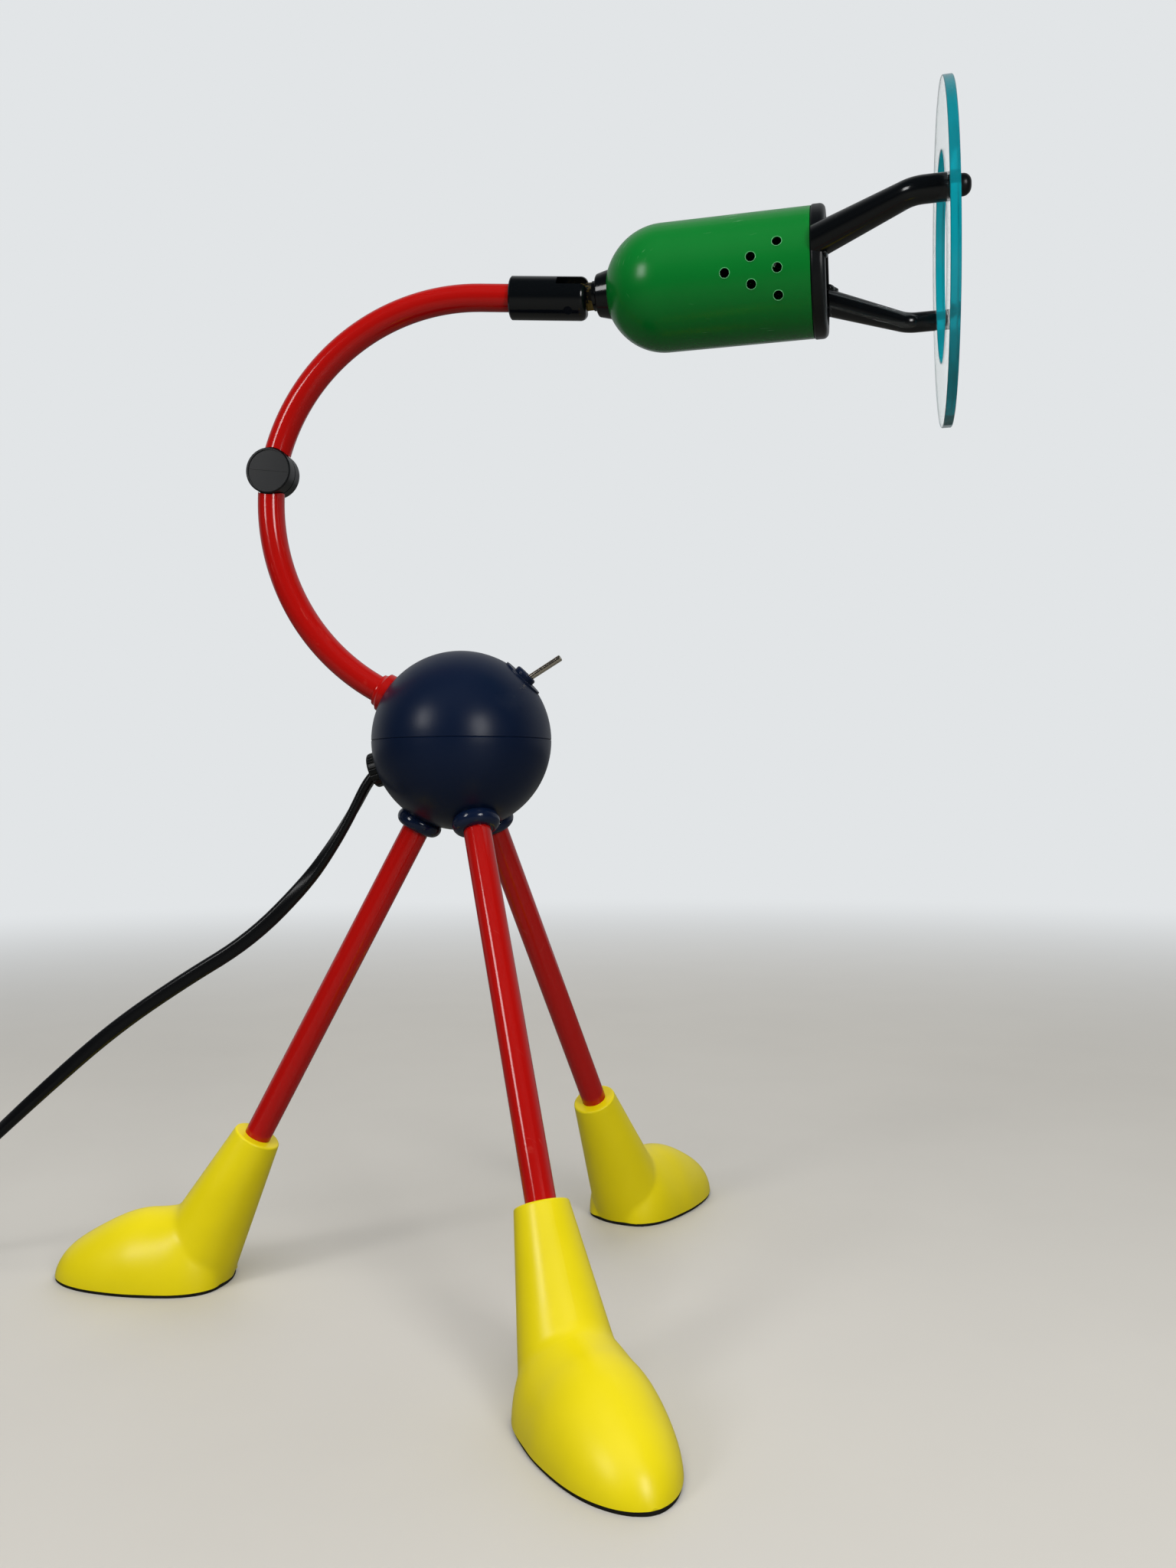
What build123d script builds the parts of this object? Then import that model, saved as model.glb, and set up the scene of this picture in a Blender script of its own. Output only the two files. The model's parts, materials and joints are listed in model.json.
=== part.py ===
from build123d import *
from math import atan2, cos, degrees, radians, sin, sqrt, tan
import os

os.makedirs("parts", exist_ok=True)

# Driving dimensions, in millimetres and degrees.
# X runs from the tripod axis to the head, Y away from the viewer, Z up.
AXIS_X = -15.0  # the tripod axis, set back so that the origin is under the middle of the lamp

# Ball
BALL_R = 40.0
BALL_Z = 245.0
SHELL = 2.2
SEAM = 0.3
LIP_R = 37.6
LIP_WALL = 1.2
LIP_BELOW = 6.5
LIP_ABOVE = 3.0
BOSS_Y = 28.0
BOSS_R = 4.5
SHELL_SCREW_R = 1.5
SCREW_HEAD_R = 2.8
SCREW_SLOT = (3.6, 0.8, 1.6)
SCREW_HEAD_TOP = -14.0
SCREW_TIP = 12.0
PEG_LENGTH = 8.0

# Tubes
TUBE_R = 6.0
TUBE_WALL = 1.0
BORE_R = TUBE_R - TUBE_WALL

# Legs and feet
SPLAY = 28.3
LEG_AZIMUTHS = {"left": 180.0, "front": 300.0, "rear": 60.0}
LEG_START = 28.0
FOOT_RIM = 202.7  # along the leg from the ball's centre
SOCKET_DEPTH = 40.0
COLLAR_RING_R = 6.6
COLLAR_WIRE_R = 3.8
COLLAR_AT = 41.3
NUT_FLATS = 9.0  # half the width across flats
LEG_NUT_FROM = 31.5
SOCKET_R = 10.6
SOCKET_HALF_ANGLE = 7.9
SOCKET_EDGE = 1.0
SOLE = 1.5
SOLE_INSET = 0.6
CREASE_R = 9.0  # where the socket cone runs into the shoe
CREASE_RUNS = (20.0, 60.0)  # shortest and longest edge of that crease
# Sections of the shoe: distance from the tripod axis, half width, height
SHOE_SECTIONS = [
    (109.5, 3.0, 5.0),
    (111.0, 10.2, 16.0),
    (114.5, 17.0, 29.0),
    (122.0, 21.6, 34.0),
    (134.0, 23.8, 33.5),
    (148.0, 24.0, 31.8),
    (162.0, 22.3, 28.0),
    (175.0, 18.8, 21.4),
    (185.0, 13.2, 14.6),
    (190.5, 7.4, 7.8),
    (192.8, 2.0, 2.2),
]

# Arm: both bends pass through the elbow, in the plane Y = 0
ELBOW = (-87.0, 368.0)  # X from the tripod axis, and Z
LOWER_BEND_R = 97.8
LOWER_FROM = 171.7
LOWER_TO = 243.5
LOWER_STRAIGHT = 13.0
UPPER_BEND_R = 92.3
UPPER_FROM = 169.4
UPPER_TO = 86.2
FLANGE_R = 8.9
FLANGE_TOP_R = 7.3
FLANGE_CURVE_R = 10.1
FLANGE_H = 4.4
ROOT_NUT_FROM = 1.0
ROOT_NUT_TO = 7.5

# Elbow knuckle
KNUCKLE_R = 10.4
KNUCKLE_GAP = 0.3
NEAR_HALF = 6.9
FAR_HALF = 6.3
KNUCKLE_EDGE = 0.6
KNUCKLE_RIM = 1.1
KNUCKLE_DISH = 0.4
PART_LINE = 0.3  # moulded ridge across the near face
PART_LINE_TURN = -7.0
PIVOT_R = 2.5
RUN_FIT = 0.05
PIVOT_HEAD_R = 4.5
PIVOT_HEAD_H = 2.6
PIVOT_SLOT = (6.5, 1.2, 2.4)
PIVOT_NUT_FLATS = 4.0
PIVOT_NUT_H = 3.4
SPIGOT_LENGTH = 24.0
FRICTION_WASHER_R = 8.6

# Swivel: the barrel turns on the upper tube and the head tilts on its pin
BARREL_R = 9.3
BARREL_LENGTH = 34.6
BARREL_START = 14.1  # straight tube that shows behind the barrel
BARREL_EDGE = 0.6
BARREL_NOSE = 3.2
TUBE_IN_BARREL = 17.0
PIN_BACK = 7.9  # from the barrel's end
PIN_R = 2.0
PIN_SUNK = 0.2
SLOT_WIDTH = 5.2
SLOT_DEPTH = 13.5
WIRE_R = 3.0
GRUB_FROM_PIN = 20.0
GRUB_R = 1.5
GRUB_SUNK = 0.8
GROOVE_DEPTH = 0.5
GROOVE_WIDTH = 3.4
BARREL_ROLL = 52.8
HEAD_TILT = 7.1

# Head, measured along its axis from the tilt pin
TONGUE_T = 5.0
TONGUE_HALF = 5.3
STEM_R = 4.5
STEM_END = 25.6
STEP_AT = 10.7
STEP_R = 6.3
CONE_AT = 12.4
CONE_R1 = 8.9
CONE_R2 = 10.4
CONE_EDGE = 1.2
CUP_APEX = 16.2
CUP_RIM = 105.9
CUP_R = 26.5
CUP_WALL = 0.8
VENT_R = 2.0
VENT_PITCH = 10.75
VENT_FIRST = 71.2
VENT_ANGLE = 51.6
STEM_NUT_FLATS = 7.0
STEM_NUT_H = 4.2
BRACKET_T = 1.0
BRACKET_HALF = 11.0
BRACKET_WIDTH = 14.0
HOLDER_FROM = 44.0
HOLDER_TO = 57.7
HOLDER_WIDTH = 10.0
PIN_SPREAD = 5.33
BULB_PIN_R = 0.78
BULB_PIN_LENGTH = 7.0
BULB_FRONT = 102.2
BULB_R = 25.0
BULB_RIM = 3.6
BULB_BASE_R = 7.5
BULB_NECK = 66.0
BULB_WALL = 1.8
BULB_FLOOR = 70.0
BULB_WAIST = (19.0, 88.0)  # radius, and place along the axis
CAPSULE_R = 4.0
CAPSULE_LENGTH = 18.0
CAPSULE_TIP = 3.6
RING_FRONT = 112.0
RING_R = 26.9
RING_OPENING_R = 21.5
RING_EDGE = 2.4
SPIGOT_R = CUP_R - CUP_WALL
PRONG_ANGLE = 28.5
PRONG_ROOT_R = 25.5
PRONG_ROOT_WIRE = {"near": 6.8, "far": 5.8}
PRONG_WIRE = {"near": 5.2, "far": 4.4}
PRONG_WRAP = 6.0  # how far a root reaches back over the front ring
PRONG_BACK = 0.6  # from the cup's rim to the end of a root
PRONG_REACH = 49.5
PRONG_BEND_AT = 146.0
PRONG_BEND_R = 13.0
GLASS_AT = 158.4
GLASS_T = 4.0
GLASS_R = 67.8
GLASS_HOLE_R = 41.2
GLASS_ARRIS = 0.3
GLASS_SCREW_R = 1.6
GLASS_SCREW_HOLE_R = 2.2
GLASS_SCREW_DEPTH = 8.0
CAP_R = 4.1
CAP_H = 5.0
CAP_DOME = 3.2
CAP_BORE = 3.0

# Switch on the ball, on the side of the head
SWITCH_ELEVATION = 44.6
SEAT_AT = 38.6  # from the ball's centre
SEAT_R = 9.8
SEAT_T = 0.9
SWITCH_PAD_R = 8.0
SWITCH_PAD_AT = 35.6
SWITCH_PAD_H = 2.5
SWITCH_BODY = (9.0, 13.0, 10.0)
BUSHING_R = 4.1
BUSHING_TOP = 40.6
SWITCH_NUT_R = 5.1
SWITCH_NUT_H = 2.4
SWITCH_NUT_ROUND = 0.8
LEVER_PIVOT = 32.0
LEVER_BALL_R = 2.3
LEVER_PIN_R = 0.8
LEVER_PIN_LENGTH = 7.6
LEVER_PLAY = 0.05  # around the pin in the body
LEVER_ROOM = (4.9, 7.1)  # slot in the bushing, across and along the swing
LEVER_FLOOR = 29.4
LEVER_MOUTH = (3.4, 8.0)  # slot in the nut
LEVER_R1 = 1.32
LEVER_R2 = 1.45
LEVER_TIP = 0.5
LEVER_LENGTH = 26.1
LEVER_LEAN = 12.8

# Cord, gland, coil and plug
GLAND_ELEVATION = -17.8
GLAND_R = 7.9
GLAND_TOP = 43.4
GLAND_NECK_R = 5.6
GLAND_RIM_R = 6.3
GLAND_INNER = 33.0
GLAND_RIBS = 18
GLAND_RIB_R = 0.5
GLAND_EDGE = 1.4
CORD_R = 3.0
CORD_ROUTE = [
    (-46.0, 0.0, 236.5),
    (-52.0, 0.0, 233.0),
    (-58.0, 0.0, 227.7),
    (-65.2, 0.0, 213.9),
    (-74.2, -1.0, 198.8),
    (-86.8, -2.0, 181.2),
    (-112.1, -5.0, 155.8),
    (-143.9, -8.0, 136.9),
    (-176.3, -10.0, 115.0),
    (-210.5, -9.0, 86.3),
    (-243.0, -8.0, 57.5),
    (-273.0, -8.0, 32.0),
    (-297.0, -8.4, 13.5),
    (-319.0, -8.2, 4.6),
    (-337.0, -8.0, 3.4),
]
COIL_CENTRE = (-337.0, 35.6)
COIL_R1 = 26.4
COIL_R2 = 47.2
COIL_BASE = 1.0
COIL_TOP = 11.0
COIL_EDGE = 4.0
CORD_TAIL = [
    (-331.0, -1.2, 10.4),
    (-351.0, -0.6, 11.8),
    (-367.2, 5.6, 15.0),
    (-374.5, 19.6, 17.8),
    (-374.5, 33.6, 17.8),
]
TIE_WIDTH = 8.0
TIE_ANGLE = 50.0
TIE_T = 0.8
PLUG_LENGTH = 35.0
PLUG_WIDTH = 25.0
PLUG_T = 13.6
PLUG_REAR = 13.0
PLUG_SHOULDER = 15.0
PLUG_EDGE = 2.0
PLUG_PIN_R = 2.0
PLUG_PIN_SPREAD = 18.6
PLUG_PIN_LENGTH = 19.0
BEND_SHARE = 0.45

# Transformer in the ball, sizes about the ball's centre
PLATE_T = 1.5
PLATE_TOP = 0.5
CORE_SIZE = (42.0, 36.0, 15.0)
CORE_TOP = PLATE_TOP - PLATE_T
WINDOW = (7.0, 22.0)
WINDOW_X = 10.5
PLATE_WINDOW_X = 28.5
WINDING_OVER = 5.5
WINDING_EDGE = 2.5
WINDING_FIT = 0.5
PLATE_X = 40.0
EAR_X = 11.0
TERMINAL_SIZE = (16.0, 10.0, 8.0)
TERMINAL_X = -4.0
TERMINAL_PITCH = 5.0
TERMINAL_R = 1.3

UP = (Align.CENTER, Align.CENTER, Align.MIN)
DOWN = (Align.CENTER, Align.CENTER, Align.MAX)
BALL_CENTRE = Vector(AXIS_X, 0, BALL_Z)
BALL_AXIS = Axis(BALL_CENTRE, (0, 0, 1))
BALL = Plane(BALL_CENTRE)
# Upright plane of the arm: local x is X from the tripod axis, local y is Z
ARM = Plane(origin=(AXIS_X, 0, 0), x_dir=(1, 0, 0), z_dir=(0, -1, 0))
BALL_SECTION = Plane(origin=BALL_CENTRE, x_dir=(1, 0, 0), z_dir=(0, -1, 0))
KNUCKLE = Plane(origin=ARM.from_local_coords(ELBOW), x_dir=(1, 0, 0), z_dir=(0, -1, 0))
BALL_INNER_R = BALL_R - SHELL

# Whole balls that the pieces on and in the shells are fitted to
BALL_SOLID = Pos(*BALL_CENTRE) * Sphere(BALL_R)
BALL_INSIDE = Pos(*BALL_CENTRE) * Sphere(BALL_INNER_R)
BALL_CORE = Pos(*BALL_CENTRE) * Sphere(BALL_R - SHELL / 2)


def polar(radius, angle):
    """The point at a radius and an angle in degrees."""
    return (radius * cos(radians(angle)), radius * sin(radians(angle)))


def leg_plane(azimuth):
    """The plane at the ball's centre whose Z runs down a leg and whose X leans outward."""
    rx, ry = polar(1, azimuth)
    down, out = cos(radians(SPLAY)), sin(radians(SPLAY))
    return Plane(origin=BALL_CENTRE, x_dir=(down * rx, down * ry, out), z_dir=(out * rx, out * ry, -down))


def side_plane(elevation, side):
    """The plane at the ball's centre that faces out at an elevation, on side +1 or -1 of X."""
    x, z = polar(1, elevation)
    return Plane(origin=BALL_CENTRE, x_dir=(0, 1, 0), z_dir=(side * x, 0, z))


def bend_centre(radius, angle):
    """The centre of a bend of the arm that passes through the elbow at an angle."""
    x, z = polar(radius, angle)
    return (ELBOW[0] - x, ELBOW[1] - z)


def lower_line():
    """The lower tube's centre line, from the elbow into the ball."""
    bend = CenterArc(bend_centre(LOWER_BEND_R, LOWER_FROM), LOWER_BEND_R, LOWER_FROM, LOWER_TO - LOWER_FROM)
    PolarLine(bend @ 1, LOWER_STRAIGHT, direction=bend % 1)


def upper_line():
    """The upper tube's centre line, from the elbow into the barrel."""
    bend = CenterArc(bend_centre(UPPER_BEND_R, UPPER_FROM), UPPER_BEND_R, UPPER_FROM, UPPER_TO - UPPER_FROM)
    PolarLine(bend @ 1, BARREL_START + TUBE_IN_BARREL, direction=bend % 1)


def spigot_line(radius, angle, turn):
    """The first stretch of a bend, which a knuckle's spigot fills."""
    CenterArc(bend_centre(radius, angle), radius, angle, turn * degrees(SPIGOT_LENGTH / radius))


def bend_radii(route):
    """The largest radius that each corner of a route has room for."""
    radii = []
    for before, corner, after in zip(route, route[1:], route[2:]):
        into, out = Vector(corner) - Vector(before), Vector(after) - Vector(corner)
        turn = radians(into.get_angle(out))
        radii.append(BEND_SHARE * min(into.length, out.length) / tan(turn / 2))
    return radii


# Ends of the tubes, and the planes that follow from them
with BuildLine(ARM) as lower_path:
    lower_line()
with BuildLine(ARM) as upper_path:
    upper_line()
root_out = (lower_path.line % 1) * -1
ROOT = Plane(origin=(lower_path.line @ 1) + root_out * LOWER_STRAIGHT, x_dir=(0, 1, 0), z_dir=root_out)
barrel_way = upper_path.line % 1
barrel_up = Vector(0, -1, 0).cross(barrel_way)
barrel_up = barrel_up if barrel_up.Z > 0 else barrel_up * -1
slot_way = barrel_up * cos(radians(BARREL_ROLL)) + Vector(0, -1, 0) * sin(radians(BARREL_ROLL))
tilt_pin = (upper_path.line @ 1) + barrel_way * (BARREL_LENGTH - TUBE_IN_BARREL - PIN_BACK)
BARREL = Plane(origin=tilt_pin, x_dir=slot_way, z_dir=barrel_way)
head_way = barrel_way * cos(radians(HEAD_TILT)) + slot_way * sin(radians(HEAD_TILT))
head_x = slot_way * cos(radians(HEAD_TILT)) - barrel_way * sin(radians(HEAD_TILT))
HEAD = Plane(origin=tilt_pin, x_dir=head_x, z_dir=head_way)
HEAD_AXIS = Axis(HEAD.origin, HEAD.z_dir)
SWITCH = side_plane(SWITCH_ELEVATION, 1)
GLAND = side_plane(GLAND_ELEVATION, -1)
lever_way = polar(1, SWITCH_ELEVATION - LEVER_LEAN)
LEVER = Plane(
    origin=SWITCH.from_local_coords((0, 0, LEVER_PIVOT)),
    x_dir=(0, 1, 0),
    z_dir=(lever_way[0], 0, lever_way[1]),
)

# Ball: two shells that meet at the equator, on a lip, with posts for a screw behind and a peg in front
with BuildPart() as upper_posts:
    with BuildSketch(BALL.offset(PLATE_TOP)):
        with Locations((0, BOSS_Y), (0, -BOSS_Y)):
            Circle(BOSS_R)
    extrude(amount=BALL_R)
    add(BALL_CORE, mode=Mode.INTERSECT)

with BuildPart() as upper_shell:
    with BuildSketch(BALL_SECTION):
        with BuildLine():
            outside = CenterArc((0, 0), BALL_R, 0, 90)
            inside = CenterArc((0, 0), BALL_INNER_R, 0, 90)
            Line(outside @ 0, inside @ 0)
            Line(outside @ 1, inside @ 1)
        make_face()
    revolve(axis=BALL_AXIS)
    chamfer(upper_shell.faces().sort_by(Axis.Z)[0].edges().sort_by(SortBy.RADIUS)[-1], SEAM)
    add(upper_posts.part)
    with Locations(SWITCH.offset(SWITCH_PAD_AT)):
        Cylinder(SWITCH_PAD_R, SWITCH_PAD_H, align=UP)
    with Locations(SWITCH.offset(SEAT_AT)):
        Cylinder(BALL_R / 2, BALL_R, align=UP, mode=Mode.SUBTRACT)
    with Locations(SWITCH):
        Cylinder(BUSHING_R, BALL_R, align=UP, mode=Mode.SUBTRACT)
    with Locations(ROOT):
        Cylinder(TUBE_R, BALL_R / 2, mode=Mode.SUBTRACT)
    with Locations(BALL.offset(PLATE_TOP)):
        with Locations((0, BOSS_Y)):
            Cylinder(SHELL_SCREW_R, SCREW_TIP - PLATE_TOP, align=UP, mode=Mode.SUBTRACT)
        with Locations((0, -BOSS_Y)):
            Cylinder(SHELL_SCREW_R, PEG_LENGTH, align=DOWN)
upper_shell.part.label = "ball_upper_shell"
export_step(upper_shell.part, "parts/ball_upper_shell.step")

with BuildPart() as lower_posts:
    with BuildSketch(BALL.offset(CORE_TOP)):
        with Locations((0, BOSS_Y), (0, -BOSS_Y)):
            Circle(BOSS_R)
    extrude(amount=-BALL_R)
    add(BALL_CORE, mode=Mode.INTERSECT)

with BuildPart() as lower_shell:
    with BuildSketch(BALL_SECTION):
        with BuildLine():
            outside = CenterArc((0, 0), BALL_R, -90, 90)
            inside = CenterArc((0, 0), BALL_INNER_R, -90, 90)
            Line(outside @ 0, inside @ 0)
            Line(outside @ 1, inside @ 1)
        make_face()
    revolve(axis=BALL_AXIS)
    chamfer(lower_shell.faces().sort_by(Axis.Z)[-1].edges().sort_by(SortBy.RADIUS)[-1], SEAM)
    with Locations(BALL.offset(-LIP_BELOW)):
        Cylinder(LIP_R, LIP_BELOW + LIP_ABOVE, align=UP)
        Cylinder(LIP_R - LIP_WALL, LIP_BELOW + LIP_ABOVE, align=UP, mode=Mode.SUBTRACT)
    add(lower_posts.part)
    for azimuth in LEG_AZIMUTHS.values():
        with Locations(leg_plane(azimuth)):
            Cylinder(TUBE_R, BALL_R + TUBE_R, align=UP, mode=Mode.SUBTRACT)
    with Locations(GLAND):
        Cylinder(GLAND_NECK_R, BALL_R + TUBE_R, align=UP, mode=Mode.SUBTRACT)
    with Locations(BALL.offset(PLATE_TOP)):
        with Locations((0, BOSS_Y)):
            Cylinder(SHELL_SCREW_R, BALL_R, align=DOWN, mode=Mode.SUBTRACT)
        with Locations((0, -BOSS_Y)):
            Cylinder(SHELL_SCREW_R, PEG_LENGTH, align=DOWN, mode=Mode.SUBTRACT)
    with Locations(BALL.offset(SCREW_HEAD_TOP)):
        with Locations((0, BOSS_Y)):
            Cylinder(SCREW_HEAD_R, BALL_R, align=DOWN, mode=Mode.SUBTRACT)
lower_shell.part.label = "ball_lower_shell"
export_step(lower_shell.part, "parts/ball_lower_shell.step")

with BuildPart() as shell_screw:
    with Locations(BALL.offset(SCREW_HEAD_TOP)):
        with Locations((0, BOSS_Y)):
            Cylinder(SHELL_SCREW_R, SCREW_TIP - SCREW_HEAD_TOP, align=UP)
            Cylinder(SCREW_HEAD_R, SCREW_HEAD_R, align=DOWN)
            with Locations((0, 0, -SCREW_HEAD_R)):
                Box(*SCREW_SLOT, mode=Mode.SUBTRACT)
shell_screw.part.label = "shell_screw"
export_step(shell_screw.part, "parts/shell_screw.step")

# Transformer: a bracket held between the posts, a core with two windows and its winding
with BuildPart() as bracket:
    with BuildSketch(BALL.offset(CORE_TOP)):
        Rectangle(PLATE_X, CORE_SIZE[1])
        Rectangle(EAR_X, 2 * (BOSS_Y + BOSS_R))
        Rectangle(PLATE_WINDOW_X, WINDOW[1], mode=Mode.SUBTRACT)
        with Locations((0, BOSS_Y), (0, -BOSS_Y)):
            Circle(SHELL_SCREW_R, mode=Mode.SUBTRACT)
    extrude(amount=PLATE_T)
bracket.part.label = "transformer_bracket"
export_step(bracket.part, "parts/transformer_bracket.step")

with BuildPart() as core:
    with BuildSketch(BALL.offset(CORE_TOP)):
        Rectangle(CORE_SIZE[0], CORE_SIZE[1])
        with Locations((WINDOW_X, 0), (-WINDOW_X, 0)):
            Rectangle(*WINDOW, mode=Mode.SUBTRACT)
    extrude(amount=-CORE_SIZE[2])
core.part.label = "transformer_core"
export_step(core.part, "parts/transformer_core.step")

LIMB_X = 2 * WINDOW_X - WINDOW[0]
WINDING_X = LIMB_X + 2 * (WINDOW[0] - WINDING_FIT)
with BuildPart() as winding:
    with Locations(BALL.offset(CORE_TOP - CORE_SIZE[2] / 2)):
        Box(WINDING_X, WINDOW[1] - 2 * WINDING_FIT, CORE_SIZE[2] + 2 * WINDING_OVER)
        fillet(winding.edges().filter_by(Axis.Y), WINDING_EDGE)
        Box(LIMB_X, BALL_R, CORE_SIZE[2], mode=Mode.SUBTRACT)
winding.part.label = "transformer_winding"
export_step(winding.part, "parts/transformer_winding.step")

with BuildPart() as terminals:
    with Locations(BALL.offset(CORE_TOP + WINDING_OVER)):
        with Locations((TERMINAL_X, 0)):
            Box(*TERMINAL_SIZE, align=UP)
            with GridLocations(TERMINAL_PITCH, 0, 3, 1):
                with Locations((0, 0, TERMINAL_SIZE[2] / 2)):
                    Cylinder(TERMINAL_R, TERMINAL_SIZE[1], rotation=(90, 0, 0), mode=Mode.SUBTRACT)
terminals.part.label = "terminal_block"
export_step(terminals.part, "parts/terminal_block.step")

# Legs, each a tube with a collar on the ball and a nut inside it
for name, azimuth in LEG_AZIMUTHS.items():
    leg = leg_plane(azimuth)
    with BuildPart() as leg_tube:
        with BuildSketch(leg.offset(LEG_START)):
            Circle(TUBE_R)
            Circle(BORE_R, mode=Mode.SUBTRACT)
        extrude(amount=FOOT_RIM + SOCKET_DEPTH - LEG_START)
    leg_tube.part.label = f"leg_{name}"
    export_step(leg_tube.part, f"parts/leg_{name}.step")

    with BuildPart() as collar:
        with Locations(leg.offset(COLLAR_AT)):
            Torus(COLLAR_RING_R, COLLAR_WIRE_R)
            Cylinder(COLLAR_RING_R, COLLAR_WIRE_R * 2)
        add(BALL_SOLID, mode=Mode.SUBTRACT)
        with Locations(leg):
            Cylinder(TUBE_R, 2 * BALL_R, align=UP, mode=Mode.SUBTRACT)
    collar.part.label = f"leg_collar_{name}"
    export_step(collar.part, f"parts/leg_collar_{name}.step")

with BuildPart() as leg_nuts:
    for azimuth in LEG_AZIMUTHS.values():
        with BuildSketch(leg_plane(azimuth).offset(LEG_NUT_FROM)):
            RegularPolygon(NUT_FLATS, 6, major_radius=False)
            Circle(TUBE_R, mode=Mode.SUBTRACT)
    extrude(amount=BALL_R - LEG_NUT_FROM)
    add(BALL_INSIDE, mode=Mode.INTERSECT)
leg_nuts.part.label = "leg_nuts"
export_step(leg_nuts.part, "parts/leg_nuts.step")

# Feet: a socket cone around the leg that runs into a shoe, on a rubber sole
CONE_LENGTH = 2 * (BALL_Z / cos(radians(SPLAY)) - FOOT_RIM)
CONE_END_R = SOCKET_R + CONE_LENGTH * tan(radians(SOCKET_HALF_ANGLE))
for name, azimuth in LEG_AZIMUTHS.items():
    leg = leg_plane(azimuth)
    out_x, out_y = polar(1, azimuth)
    with BuildPart() as socket:
        with Locations(leg.offset(FOOT_RIM)):
            Cone(SOCKET_R, CONE_END_R, CONE_LENGTH, align=UP)
            fillet(socket.edges().filter_by(GeomType.CIRCLE).sort_by(SortBy.RADIUS)[0], SOCKET_EDGE)
    with BuildPart() as foot:
        for distance, half_width, height in SHOE_SECTIONS:
            middle = (AXIS_X + distance * out_x, distance * out_y, 0)
            with BuildSketch(Plane(origin=middle, x_dir=(-out_y, out_x, 0), z_dir=(out_x, out_y, 0))):
                Ellipse(half_width, height)
        loft()
        add(socket.part)
        split(bisect_by=Plane.XY.offset(SOLE), keep=Keep.TOP)
        curves = foot.edges().filter_by(GeomType.BSPLINE)
        fillet(curves.filter_by(lambda edge: CREASE_RUNS[0] < edge.length < CREASE_RUNS[1]), CREASE_R)
        with Locations(leg):
            Cylinder(TUBE_R, FOOT_RIM + SOCKET_DEPTH, align=UP, mode=Mode.SUBTRACT)
    foot.part.label = f"foot_{name}"
    export_step(foot.part, f"parts/foot_{name}.step")

    with BuildPart() as sole_pad:
        with BuildSketch(Plane(origin=(AXIS_X, 0, 0), x_dir=(out_x, out_y, 0), z_dir=(0, 0, 1))):
            with BuildLine():
                near_side = [(distance, half_width - SOLE_INSET) for distance, half_width, _ in SHOE_SECTIONS]
                edge = Spline(*near_side)
                mirror(edge, about=Plane.XZ)
                Line(near_side[0], (near_side[0][0], -near_side[0][1]))
                Line(near_side[-1], (near_side[-1][0], -near_side[-1][1]))
            make_face()
        extrude(amount=SOLE)
    sole_pad.part.label = f"sole_pad_{name}"
    export_step(sole_pad.part, f"parts/sole_pad_{name}.step")

# Lower arm: a bent tube with a flange on the ball and a nut inside it
with BuildPart() as lower_tube:
    with BuildLine(ARM) as path:
        lower_line()
    with BuildSketch(Plane(origin=path.line @ 0, z_dir=path.line % 0)):
        Circle(TUBE_R)
        Circle(BORE_R, mode=Mode.SUBTRACT)
    sweep()
    with Locations(KNUCKLE):
        Cylinder(KNUCKLE_R + KNUCKLE_GAP, 4 * TUBE_R, mode=Mode.SUBTRACT)
lower_tube.part.label = "arm_lower_tube"
export_step(lower_tube.part, "parts/arm_lower_tube.step")

with BuildPart() as flange:
    with Locations(ROOT):
        Cylinder(FLANGE_R, 2 * FLANGE_H)
        with Locations((0, 0, FLANGE_H)):
            Torus(FLANGE_CURVE_R, FLANGE_CURVE_R - FLANGE_TOP_R, mode=Mode.SUBTRACT)
    with BuildLine(ARM) as path:
        lower_line()
    with BuildSketch(Plane(origin=path.line @ 0, z_dir=path.line % 0)):
        Circle(TUBE_R)
    sweep(mode=Mode.SUBTRACT)
    add(BALL_SOLID, mode=Mode.SUBTRACT)
flange.part.label = "arm_flange"
export_step(flange.part, "parts/arm_flange.step")

with BuildPart() as root_nut:
    with BuildSketch(ROOT.offset(-ROOT_NUT_TO)):
        RegularPolygon(NUT_FLATS, 6, major_radius=False)
        Circle(TUBE_R, mode=Mode.SUBTRACT)
    extrude(amount=ROOT_NUT_TO - ROOT_NUT_FROM)
    add(BALL_INSIDE, mode=Mode.INTERSECT)
root_nut.part.label = "arm_root_nut"
export_step(root_nut.part, "parts/arm_root_nut.step")

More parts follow.
